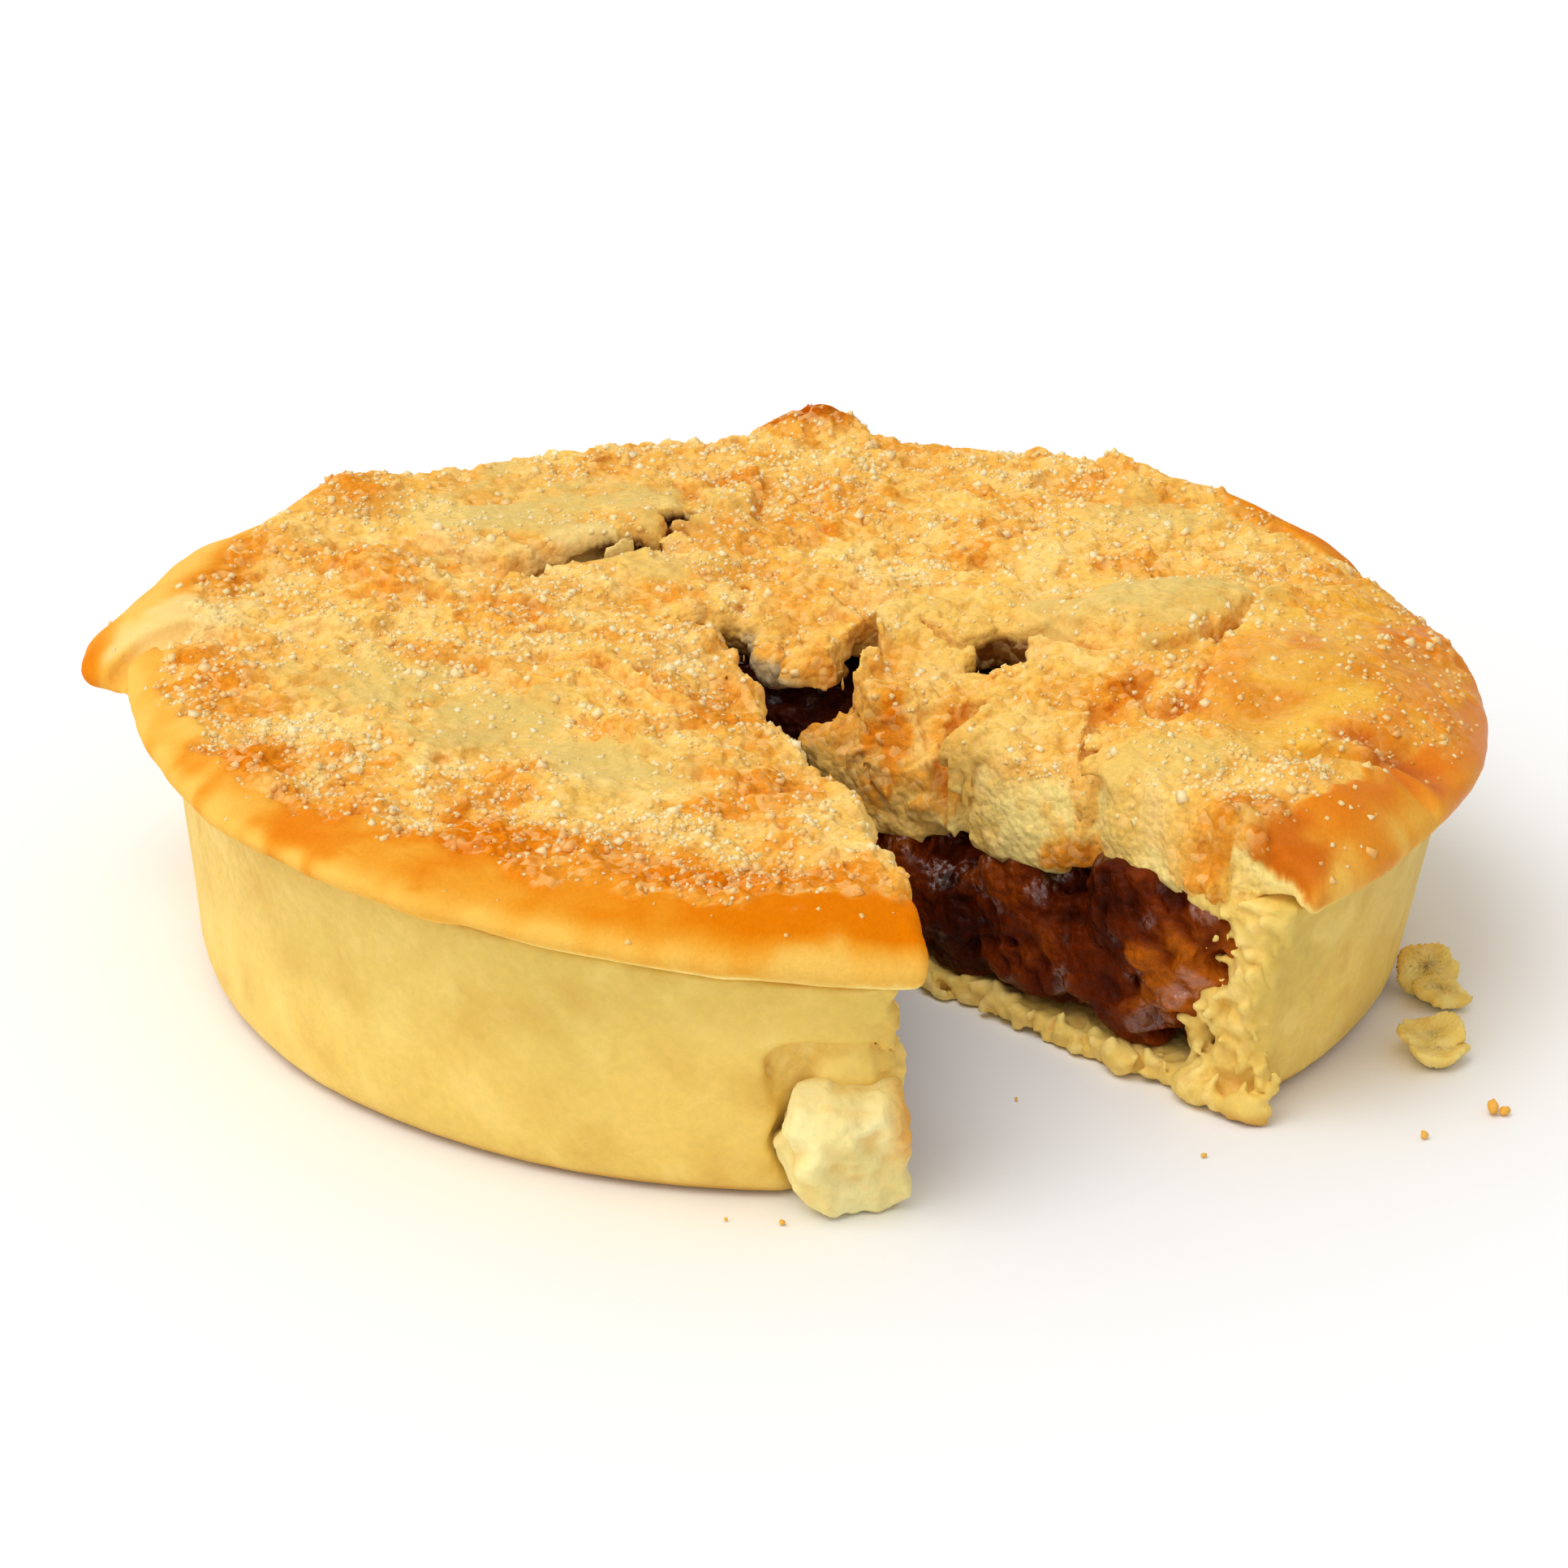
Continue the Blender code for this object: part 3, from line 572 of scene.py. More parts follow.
class Volume:
    """A CAD solid as distances to its surface on a grid, which can be roughened, added to and carved."""

    def __init__(self, node, voxel=VOXEL):
        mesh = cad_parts[node].data
        mesh.calc_loop_triangles()
        points = read(mesh.vertices, "co", 3) / MM - np.array((*BASE_CENTRE, 0), np.float32)
        corners = read(mesh.loop_triangles, "vertices", 3, np.int32)
        self.voxel = voxel
        self.transform = openvdb.createLinearTransform(voxelSize=voxel)
        grid = openvdb.FloatGrid.createLevelSetFromPolygons(
            points, triangles=corners, transform=self.transform, halfWidth=BAND
        )
        self.low = np.floor(points.min(0) / voxel).astype(int) - MARGIN
        high = np.ceil(points.max(0) / voxel).astype(int) + MARGIN
        self.dist = np.empty(tuple(high - self.low + 1), np.float32)
        grid.copyToArray(self.dist, ijk=tuple(int(i) for i in self.low))
        self.axes = [
            ((low + np.arange(n)) * voxel).astype(np.float32) for low, n in zip(self.low, self.dist.shape)
        ]
        self.x, self.y = self.axes[0][:, None], self.axes[1][None, :]
        self.z = self.axes[2][None, None, :]

    def noise(self, length, seed):
        return spline_noise(self.axes, length, seed)

    def ridges(self, length, seed):
        """Noise with sharp valleys, about 0 on average."""
        return np.abs(self.noise(length, seed)) - 0.8

    def flat_noise(self, length, seed):
        return spline_noise(self.axes[:2], length, seed)

    def from_cut(self, apex=(), shift=CORE_SHIFT):
        """How far each place seen from above is from the sides of the cut."""
        return np.abs(line_distance(self.x, self.y, wedge_line(apex, shift))[0])

    def soften(self, sigma):
        """Rounds every edge and facet over about sigma millimetres."""
        cells = sigma / self.voxel
        reach = math.ceil(2.5 * cells)
        steps = range(-reach, reach + 1)
        weights = [math.exp(-0.5 * (k / cells) ** 2) for k in steps]
        for axis in range(3):
            total = sum(w * np.roll(self.dist, k, axis) for w, k in zip(weights, steps))
            self.dist = total / sum(weights)

    def top(self):
        """The height of the top surface over each place, and 0 where there is none."""
        inside = self.dist < 0
        from_top = np.argmax(inside[:, :, ::-1], axis=2)
        height = self.axes[2][len(self.axes[2]) - 1 - from_top]
        return np.where(inside.any(axis=2), height, 0)

    def block(self, centre, reach):
        """The part of the grid within reach of a point, and its places about the point."""
        spans = []
        for axis, middle in zip(self.axes, centre):
            spans.append(slice(*np.searchsorted(axis, (middle - reach, middle + reach))))
        near = [axis[span] - middle for axis, span, middle in zip(self.axes, spans, centre)]
        return tuple(spans), np.meshgrid(*near, indexing="ij")

    def lump(self, centre, half, turns, power=2.5, join=0.5, carve=False):
        """Adds or carves a rounded block, blended over join millimetres."""
        spans, places = self.block(centre, max(half) * 1.3 + 2)
        turn = np.array(Euler([math.radians(t) for t in turns]).to_matrix().inverted(), np.float32)
        local = [sum(turn[i, k] * places[k] for k in range(3)) / half[i] for i in range(3)]
        rho = sum(np.abs(v) ** power for v in local) ** (1 / power)
        self.merge(spans, (rho - 1) * min(half), join, carve)

    def cut_lump(self, place, join):
        """Adds a rounded block beside the right side of the cut."""
        along, inside, z, *half = place
        self.lump(right_cut_point(along, inside, z), half, (0, 0, RIGHT_CUT_AZIMUTH), 2.6, join)

    def path(self, points, radius, join=0.3, carve=True):
        """Adds or carves a tube along the points."""
        for a, b in zip(points, points[1:]):
            a, b = np.array(a, float), np.array(b, float)
            spans, places = self.block((a + b) / 2, np.linalg.norm(b - a) / 2 + radius + 2)
            half = (b - a) / 2
            share = np.clip(sum(p * h for p, h in zip(places, half)) / (half @ half), -1, 1)
            away = np.sqrt(sum((p - share * h) ** 2 for p, h in zip(places, half)))
            self.merge(spans, away - radius, join, carve)

    def merge(self, spans, other, join, carve):
        """Joins a form to a part of the grid, or carves it out, with a soft edge."""
        mine = -self.dist[spans] if carve else self.dist[spans]
        mix = np.clip(0.5 + 0.5 * (mine - other) / join, 0, 1)
        low = mine + (other - mine) * mix - join * mix * (1 - mix)
        self.dist[spans] = -low if carve else low

    def sample(self, field, points):
        """A field of the grid, flat or solid, at points."""
        spot = [(points[:, k] / self.voxel - self.low[k]) for k in range(field.ndim)]
        cell = [np.clip(np.floor(s).astype(int), 0, n - 2) for s, n in zip(spot, field.shape)]
        part = [np.clip(s - c, 0, 1) for s, c in zip(spot, cell)]
        total = 0.0
        for corner in np.ndindex(*(2,) * field.ndim):
            weight = 1.0
            for c, p in zip(corner, part):
                weight = weight * (p if c else 1 - p)
            total = total + weight * field[tuple(k + c for k, c in zip(cell, corner))]
        return total

    def surface(self, adaptivity):
        """The points of the solid's surface, and its triangles and quads."""
        grid = openvdb.FloatGrid(background=float(BAND * self.voxel))
        grid.copyFromArray(self.dist, ijk=tuple(int(i) for i in self.low), tolerance=0)
        grid.transform = self.transform
        points, triangles, quads = grid.convertToPolygons(isovalue=0.0, adaptivity=adaptivity)
        return points, (triangles, quads)


def to_linear(colours):
    """Light values of colours given as they look, from 0 to 255."""
    c = np.clip(np.asarray(colours, np.float32) / 255, 0, 1)
    return np.where(c <= 0.04045, c / 12.92, ((c + 0.055) / 1.055) ** 2.4)


def painted(points, colour, layers):
    """Colours for the points: one colour, with each layer's colour or colours over it by its share."""
    colours = np.tile(np.array(colour, np.float32), (len(points), 1))
    for colour, share in layers:
        share = np.clip(np.asarray(share, np.float32), 0, 1)[:, None]
        colours = colours + (np.array(colour, np.float32) - colours) * share
    return colours


def make_mesh(name, points, faces, material, colours, gloss=None, grainy=0.3, smooth=True):
    """A piece from points in millimetres and lists of faces with equally many corners each."""
    mesh = bpy.data.meshes.new(name)
    faces = [part for part in faces if len(part)]
    sizes = np.concatenate([np.full(len(part), part.shape[1]) for part in faces])
    corners = np.concatenate([part.ravel() for part in faces])
    mesh.vertices.add(len(points))
    mesh.vertices.foreach_set("co", ((points + (*BASE_CENTRE, 0)) * MM).astype(np.float32).ravel())
    mesh.loops.add(len(corners))
    mesh.loops.foreach_set("vertex_index", corners.astype(np.int32))
    mesh.polygons.add(len(sizes))
    starts = np.concatenate([[0], np.cumsum(sizes)[:-1]])
    mesh.polygons.foreach_set("loop_start", starts.astype(np.int32))
    mesh.update(calc_edges=True)
    mesh.validate()
    rgba = np.ones((len(points), 4), np.float32)
    rgba[:, :3] = to_linear(colours)
    rgba[:, 3] = grainy
    mesh.attributes.new("paint", "FLOAT_COLOR", "POINT").data.foreach_set("color", rgba.ravel())
    if gloss is not None:
        layer = mesh.attributes.new("gloss", "FLOAT", "POINT")
        layer.data.foreach_set("value", np.broadcast_to(gloss, len(points)).astype(np.float32))
    if smooth:
        mesh.shade_smooth()
    mesh.materials.append(material)
    obj = bpy.data.objects.new(name, mesh)
    bpy.context.scene.collection.objects.link(obj)
    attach(obj, "root")
    return obj


class Look:
    """The nodes of a material or a world, added by short calls that each give the new node's outputs."""

    def __init__(self, owner, last="Principled BSDF"):
        owner.use_nodes = True
        self.owner = owner
        self.tree = owner.node_tree
        self.shader = self.tree.nodes[last]

    def feed(self, node, inputs):
        """Sets inputs of a node to values, or joins them to other nodes' outputs."""
        for key, given in inputs.items():
            if isinstance(given, bpy.types.NodeSocket):
                self.tree.links.new(given, node.inputs[key])
            else:
                node.inputs[key].default_value = given
        return node.outputs

    def add(self, kind, inputs):
        return self.feed(self.tree.nodes.new(kind), inputs)

    def attribute(self, name):
        node = self.tree.nodes.new("ShaderNodeAttribute")
        node.attribute_name = name
        return node.outputs

    def ramp(self, value, from_range, to_range):
        """A value moved from one range to another."""
        inputs = {"Value": value, "From Min": from_range[0], "From Max": from_range[1]}
        inputs.update({"To Min": to_range[0], "To Max": to_range[1]})
        return self.add("ShaderNodeMapRange", inputs)["Result"]

    def combine(self, operation, a, b):
        node = self.tree.nodes.new("ShaderNodeMath")
        node.operation = operation
        return self.feed(node, {0: a, 1: b})["Value"]

    def mix(self, blend, factor, a, b):
        node = self.tree.nodes.new("ShaderNodeMix")
        node.data_type = "RGBA"
        node.blend_type = blend
        return self.feed(node, {"Factor": factor, "A": a, "B": b})["Result"]


def food_material(name, roughness, grain, bump, spread, soft, sparkle=0.35, shine=(0.1, 0.35)):
    """A material that takes its colour from the mesh, with fine grain in colour and relief.
    Roughness and shine are each for dull and for glossy places, grain and bump are lengths in
    millimetres, spread is how far the colour varies and soft how much light goes in."""
    look = Look(bpy.data.materials.new(name))
    paint, gloss = look.attribute("paint"), look.attribute("gloss")["Fac"]
    place = look.add("ShaderNodeTexCoord", {})["Object"]
    noise = {"Vector": place, "Scale": 1 / (grain * MM), "Detail": 4.0, "Roughness": 0.65}
    fine = look.add("ShaderNodeTexNoise", noise)["Fac"]
    cells = {"Vector": place, "Scale": 1 / (1.5 * grain * MM), "Randomness": 1.0}
    cells = look.add("ShaderNodeTexVoronoi", cells)
    shade = look.ramp(fine, (0.3, 0.7), (1 - spread, 1 + spread * 0.6))
    tint = look.mix("MULTIPLY", look.ramp(paint["Alpha"], (0, 1), (0.3, 1)), paint["Color"], shade)
    pick = look.add("ShaderNodeSeparateColor", {"Color": cells["Color"]})["Red"]
    bright = look.combine("MULTIPLY", look.ramp(pick, (0.55, 1.0), (0, sparkle)), paint["Alpha"])
    round_cells = look.ramp(cells["Distance"], (0, 0.8), (1.4, 0))
    height = look.combine("ADD", look.combine("MULTIPLY", round_cells, paint["Alpha"]), fine)
    relief = look.add("ShaderNodeBump", {"Strength": 0.8, "Distance": bump * MM, "Height": height})
    look.feed(look.shader, {
        "Base Color": look.mix("MIX", bright, tint, SPARKLE_LIGHT),
        "Roughness": look.ramp(gloss, (0, 1), roughness),
        "Specular IOR Level": look.ramp(gloss, (0, 1), shine),
        "Normal": relief["Normal"],
        "Subsurface Weight": soft,
        "Subsurface Radius": (1.0, 0.55, 0.25),
        "Subsurface Scale": 1.5 * MM,
    })
    return look.owner


def sugar_material():
    look = Look(bpy.data.materials.new("sugar"))
    look.feed(look.shader, {
        "Base Color": look.attribute("paint")["Color"],
        "Roughness": 0.2,
        "Specular IOR Level": 0.4,
        "Subsurface Weight": 0.3,
        "Subsurface Radius": (1.0, 0.7, 0.4),
        "Subsurface Scale": 0.6 * MM,
    })
    return look.owner


def lid_fields(lid):
    """What the lid is like at each place seen from above."""
    x, y = lid.x, lid.y
    radius, azimuth = np.hypot(x, y), np.degrees(np.arctan2(y, x))
    ragged = lid.flat_noise(2.6, 1) * 0.6 + lid.flat_noise(1.1, 2) * 0.5
    speckle = ease(lid.flat_noise(1.4, 9) + lid.flat_noise(0.8, 10), -0.6, 1.4)
    edge = BAND_RADIUS + ring_bumps(azimuth, BAND_BUMPS) + ragged * 1.3
    at = {
        "radius": radius,
        "azimuth": azimuth,
        "ragged": ragged,
        "cut": lid.from_cut(LID_APEX, 0.0),
        "band": ease(radius - edge, -0.7, 0.7),
        "blotch": lid.flat_noise(6.0, 7),
        "freckles": lid.flat_noise(2.8, 19) + 0.5 * lid.flat_noise(1.2, 20),
        "streaks": lid.flat_noise(3.4, 17) + 0.5 * lid.flat_noise(1.6, 18),
    }
    for name, (wobble, soft, spots) in LID_PATCHES.items():
        at[name] = patches(x, y, ragged * wobble, spots, soft)
    at["green"] *= 1 - 0.25 * speckle
    at["crumbly"] = (1 - at["band"]) * (1 - 0.75 * at["green"]) * (1 - 0.6 * at["glazed"])
    return at


def shape_lid(lid, at):
    """Adds the lid's lumps and carves its hollows, grooves and slots. The first top is the surface
    before the grooves and slots."""
    for place in LID_LUMPS[1:]:
        lid.cut_lump(place, 1.4)
    for centre, half, turn, power, join in HOLLOWS:
        lid.lump(centre, half, (0, 0, turn), power, join, carve=True)
    first_top = filled(lid.top())
    for line, radius in GROOVES:
        heights = lid.sample(first_top, np.array(line)[:, :2])
        lid.path([(x, y, z - deep) for (x, y, deep), z in zip(line, heights)], radius, join=0.6)
    # hole holds how much painted shade each place inside a slot gets, by how far in from the slot's edge it
    # is.
    hole = np.zeros_like(first_top)
    for line, width, wobble, shade_inside in SLOTS:
        away, place = line_distance(lid.x, lid.y, line)
        hole = np.maximum(hole, shade_inside * ease(width / 2 + 0.9 - np.abs(away), 0, 0.8))
        away = np.abs(away) + at["ragged"] * wobble * 0.6
        lid.dist = np.maximum(lid.dist, (width / 2 * (0.3 + 0.7 * taper(place)) - away)[:, :, None])
    for line, radius in STRANDS:
        lid.path(line, radius, join=0.8, carve=False)
    lid.cut_lump(LID_LUMPS[0], 2.2)
    lid.path(LEFT_EDGE, LEFT_EDGE_RADIUS, join=1.2, carve=False)
    for centre, half in POINT_LUMPS:
        lid.lump(centre, half, (0, 0, 0), power=2.2, join=1.4)
    for centre, half, turn, power, join in POINT_HOLLOWS:
        lid.lump(centre, half, (0, 0, turn), power, join, carve=True)
    at.update({"first_top": first_top, "top": filled(lid.top()), "hole": hole})


def lid_rise(lid, at):
    """How far swellings, steps, flaky layers and cracks lift the top of the lid."""
    ragged = at["ragged"]
    rise = np.zeros_like(ragged)
    for *oval, height in SWELLINGS:
        along, across = oval_places(lid.x, lid.y, oval)
        rise += height * np.exp(-(along**2) - across**2)
    for line, height, reach, wobble in STEPS:
        away, place = line_distance(lid.x, lid.y, line)
        away = away * math.copysign(1, height) + ragged * wobble * 0.8
        ends = ease(place, 0.0, 0.12) * ease(1 - place, 0.0, 0.12)
        cliff = ease(away, -0.1, 0.25) * bell(np.maximum(away, 0), reach)
        foot = 0.3 * ease(away, -1.2, -0.3) * (1 - ease(away, -0.1, 0.1))
        rise += abs(height) * ends * (cliff - foot)
    for length, seed, start, height in FLAKY_LAYERS:
        layer = lid.flat_noise(length, seed) + 0.35 * ragged + 0.2 * lid.flat_noise(0.8, seed + 20)
        rise += height * (ease(layer, start, start + 0.12) - 0.3) * at["crumbly"]
    for line, width, depth, wobble in CRACKS:
        away, place = line_distance(lid.x, lid.y, line)
        away = np.abs(away + ragged * wobble * 0.6)
        rise -= depth * ease(width / 2 * taper(place) + 0.05 - away, -0.3, 0.1)
    return rise


def roughen_lid(lid, at):
    """Lifts the top of the lid, kept below the room it has, and gives all of it grain and pits."""
    top = at["top"]
    room = ROOM_TOP - top
    rise = -ROOM_SOFT * np.log(np.exp(-lid_rise(lid, at) / ROOM_SOFT) + np.exp(-room / ROOM_SOFT))
    on_top = 1 - ease(top[:, :, None] - lid.z, 0.6, 1.8)
    faces = bell(at["cut"], 1.8)
    rough = np.maximum(at["crumbly"], 0.9 * faces) * (1 - 0.55 * at["pale"])
    rough = (rough * (1 - 0.5 * ease(top, 28.4, 29.2)))[:, :, None]
    faces = faces[:, :, None]
    coarse, middle, small = lid.noise(3.4, 3), lid.ridges(1.7, 4), lid.ridges(0.95, 5)
    grain = (0.1 + 0.12 * faces) * coarse + (0.26 * faces - 0.12) * middle + (0.2 - 0.08 * faces) * small
    grain += 0.08 * lid.noise(0.6, 8)
    grain = np.minimum(grain, 0.25 + 0.3 * grain)
    waves = (1 - rough) * (0.07 * coarse + 0.04 * middle)
    lid.dist -= rise[:, :, None] * on_top + rough * (grain - 0.1) + waves
    lid.dist += 0.8 * (ease(lid.noise(1.3, 6), 2.0, 2.7) * rough * (1 - 0.8 * faces))
    lid.dist = np.maximum(lid.dist, lid.z - TOP_LIMIT)
    at["bumpy"] = grain


def band_colours(at, points):
    """The smooth band round the lid, with baked browning at its front, pale below, and a painted shade on
    its right side.
    """
    high = ease(59.8 - at["radius"], 0.0, 3.5)
    tip = ring_bumps(at["azimuth"], BAND_TIP) * ease(at["radius"], 60.0, 64.0)
    browning_and_shade = (0.25 + ring_bumps(at["azimuth"], BAND_BROWNING)) * high + tip
    # Painted shade on the band's right side, added on top of its browning.
    browning_and_shade = browning_and_shade + ring_bumps(at["azimuth"], BAND_RIGHT_SHADE) + 0.12 * at["ragged"]
    right_rim = ring_bumps(at["azimuth"], BAND_PALE_RIM) * ease(21.4 - points[:, 2], -0.5, 1.5)
    return painted(points, BAND_LOOK, (
        (BAND_BROWN, browning_and_shade),
        (CUT_CRUMB, 0.5 * ease(at["low"], 3.2, 5.5)),
        (BROWN, at["brown"] * 0.8),
        (CUT_CRUMB, right_rim * 0.85),
    ))


def broken_share(at, along, inside):
    """Where the lid shows broken crumb: low on its cut sides and far below its top."""
    low = at["low"]
    right_face = ease(5.0 - inside, 0.0, 1.5) * ease(along, -2.0, 0.0) * ease(low, 0.9, 2.0)
    broken = ease(low, 1.0, 2.2) * bell(at["cut"], 3.5) * (1 - 0.5 * at["band"])
    return np.maximum.reduce([broken, ease(low, 5.0, 6.5) * (1 - at["band"]), right_face])


def paint_lid(at, points):
    """The lid's colours, and where its crumb is broken."""
    height, blotch, bumpy, glazed = points[:, 2], at["blotch"], at["bumpy"], at["glazed"]
    along, inside = right_cut_place(points)
    broken = broken_share(at, along, inside)
    face = painted(points, FACE_CRUMB, (
        (CRUMB, ease(17 - along, 0, 3) * 0.8),
        (CRUMB_LOW, ease(-bumpy, 0.05, 0.5) * 0.22 + 0.1 * blotch),
    ))
    spots = []
    for (spot_along, spot_height), reach, colour, share in FACE_SPOTS:
        away = np.hypot(along - spot_along, height - spot_height) + 0.5 * at["ragged"]
        spots.append((colour, ease(reach - away, -0.8, 0.8) * share * ease(6.0 - inside, 0, 1)))
    crumb_share = at["crumbly"] * (1 - 0.3 * at["pale"])
    near_point = np.hypot(points[:, 0] + 2.5, (points[:, 1] - 3.0) / 2)
    deep = at["first_top"] - height + np.maximum(at["hole"] - 1, 0)
    colours = painted(points, CRUMB, (
        (BROWN, 0.08 + 0.12 * blotch + 0.08 * at["ragged"]),
        (BROWN, ease(at["freckles"], 0.5, 1.6) * 0.4),
        (CRUMB_HIGH, ease(-at["freckles"], 0.4, 1.5) * 0.5),
        (GREEN, at["green"] * 0.95),
        (GLAZE, glazed * (0.7 + 0.15 * blotch)),
        (GLAZE_LIGHT, glazed * ease(at["streaks"], 0.1, 1.3) * 0.75),
        (GLAZE_DARK, glazed * ease(-at["streaks"], 0.4, 1.6) * 0.6),
        (BROWN, at["brown"] * (1 - 0.3 * at["green"]) * (0.8 + 0.2 * blotch)),
        (band_colours(at, points), at["band"]),
        (DARK, at["dark"] * 0.95),
        (PALE, at["pale"] * 0.8),
        (SMOOTH, at["smooth"] * 0.8),
        (CRUMB_HIGH, crumb_share * ease(bumpy, 0.1, 0.8) * 0.55),
        (CRUMB_LOW, crumb_share * ease(-bumpy, 0.0, 0.5) * 0.5),
        (face, broken),
        *spots,
        (STRAND, ease(25.0 - height, 0, 0.8) * ease(4.5 - near_point, 0, 1.5) * 0.9),
        # Painted shade down inside the slots, below the first top.
        (HOLE_SHADE, np.minimum(at["hole"], 1) * ease(deep, 0.7, 1.5) * 0.9),
    ))
    return colours, broken


def make_lid():
    lid = Volume("lid")
    lid.soften(0.5)
    fields = lid_fields(lid)
    shape_lid(lid, fields)
    roughen_lid(lid, fields)
    points, faces = lid.surface(0.012)
    at = {key: lid.sample(field, points) for key, field in fields.items()}
    at["low"] = at["top"] - points[:, 2]
    colours, broken = paint_lid(at, points)
    gloss = (at["glazed"] * 0.9 + at["green"] * 0.35 + at["band"] * 0.12) * (1 - broken)
    grainy = np.clip(at["crumbly"] + 0.4 * broken, 0, 1)
    material = food_material("lid_crust", (0.65, 0.32), 0.5, 0.16, 0.22, 0.06, 0.45, (0.0, 0.14))
    obj = make_mesh("lid_crust", points, faces, material, colours, gloss, grainy)
    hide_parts("lid")
    return obj, lid, fields["crumbly"], colours


def add_cut_crumbs(case):
    """Crumbs that stand out from the torn right corner and from the edge of the base at the cut."""
    rng = np.random.default_rng(37)
    for _ in range(CORNER_CRUMBS):
        centre = right_cut_point(rng.uniform(45.6, 51.3), rng.uniform(0.2, 1.2), rng.uniform(0.8, 18.5))
        case.lump(centre, rng.uniform(0.5, 1.0, 3), rng.uniform(0, 90, 3), power=5, join=0.2)
    for _ in range(BASE_CRUMBS):
        centre = right_cut_point(rng.uniform(3.0, 47.0), rng.uniform(-0.3, 0.5), rng.uniform(0.7, 1.6))
        half = (rng.uniform(0.8, 2.4), 0.7, 0.8)
        case.lump(centre, half, (0, 0, RIGHT_CUT_AZIMUTH + rng.uniform(-20, 20)), join=0.8)


def roughen_case(case, cut):
    """Gives the cut sides of the case grain, pits and cracks, and leaves the wall nearly smooth."""
    corner_x, corner_y, _ = right_cut_point(52.0, 3.0, 0)
    near_corner = 0.5 * bell(np.hypot(case.x - corner_x, case.y - corner_y), 7.0)
    broken = np.maximum(bell(cut, 2.0), near_corner)[:, :, None]
    grain = 0.12 * case.noise(2.2, 31) - 0.25 * case.ridges(1.2, 32) + 0.32 * case.ridges(0.75, 33)
    case.dist -= broken * (grain - 0.1) + (1 - broken) * 0.09 * case.noise(9.0, 34)
    case.dist += 0.4 * ease(case.noise(1.5, 35), 1.9, 2.6) * broken
    for line in WALL_CRACKS:
        case.path(line, 0.32)
    case.dist = np.maximum(case.dist, 0.02 - case.z)
    return grain


def paint_case(case, cut, grain, points):
    """The case's colours, and where it shows crumb and not its outer skin."""
    z = points[:, 2]
    torn = bell(case.sample(cut, points), 2.2)
    skin = ease(np.hypot(points[:, 0], points[:, 1]) - (54.0 + (z - 3) * 0.19), -2.2, -0.8)
    inner = np.clip(1 - skin + 0.4 * torn * (1 - skin), 0, 1)
    blotch = case.sample(case.noise(8.0, 36), points)
    spots = case.sample(case.noise(2.0, 38), points) + 0.6 * case.sample(case.noise(1.0, 39), points)
    bumpy = case.sample(grain, points)
    # Crumb of the cut sides, paler on its ridges and darker in its pits: partly its own pale flecks, partly
    # painted highlight and painted shade.
    crumb = painted(points, CUT_CRUMB, (
        (CRUMB_LOW, ease(-bumpy, 0.1, 0.9) * 0.45),
        (FACE_CRUMB, ease(bumpy, 0.0, 0.4) * 0.6),
    ))
    colours = painted(points, WALL_LOW, (
        # The wall darkens towards its top: partly its own olive tone, partly painted shade from the lid's
        # lip over it.
        (WALL_HIGH, ease(z, 6, 20) + 0.22 * blotch),
        (WALL_FOOT, ease(1.6 - z, 0.0, 1.4) * 0.7),
        (WALL_FOOT, ease(spots, 0.5, 2.2) * 0.22),
        (FACE_CRUMB, ease(-spots, 0.6, 2.2) * 0.3),
        (crumb, inner),
    ))
    return colours, inner


def make_case():
    case = Volume("case", CASE_VOXEL)
    case.soften(0.4)
    for centre, half, turns in CASE_LUMPS:
        case.lump(centre, half, turns, power=2.6, join=0.8)
    cut = case.from_cut()
    add_cut_crumbs(case)
    grain = roughen_case(case, cut)
    points, faces = case.surface(0.01)
    colours, inner = paint_case(case, cut, grain, points)
    material = food_material("case_crust", (0.6, 0.5), 0.8, 0.1, 0.12, 0.06, 0.3)
    obj = make_mesh("case_crust", points, faces, material, colours, 0.4 * (1 - inner), 0.3 + 0.7 * inner)
    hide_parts("case")


def add_apple(filling):
    """Lumps of apple on both sides of the cut, in front of the solid filling."""
    filling.dist += bell(filling.from_cut(), 4.0)[:, :, None] * 1.8
    rng = np.random.default_rng(50)
    for along, inside, z, *half in APPLE_LUMPS:
        turns = (rng.uniform(-15, 15), rng.uniform(-20, 20), RIGHT_CUT_AZIMUTH + rng.uniform(-15, 15))
        filling.lump(right_cut_point(along, inside, z), half, turns, power=2.4, join=0.5)
    for x, y in LEFT_CUT[1:]:
        for z in (6.0, 11.0, 16.5):
            x_here = x + CORE_SHIFT - 2.4 + rng.uniform(-0.6, 0.6)
            centre = (x_here, y + rng.uniform(-3, 3), z + rng.uniform(-1, 1))
            half = (rng.uniform(2.4, 3.2), rng.uniform(4, 6), rng.uniform(2.6, 3.8))
            filling.lump(centre, half, (rng.uniform(-20, 20), rng.uniform(-20, 20), 0), power=2.4, join=0.5)


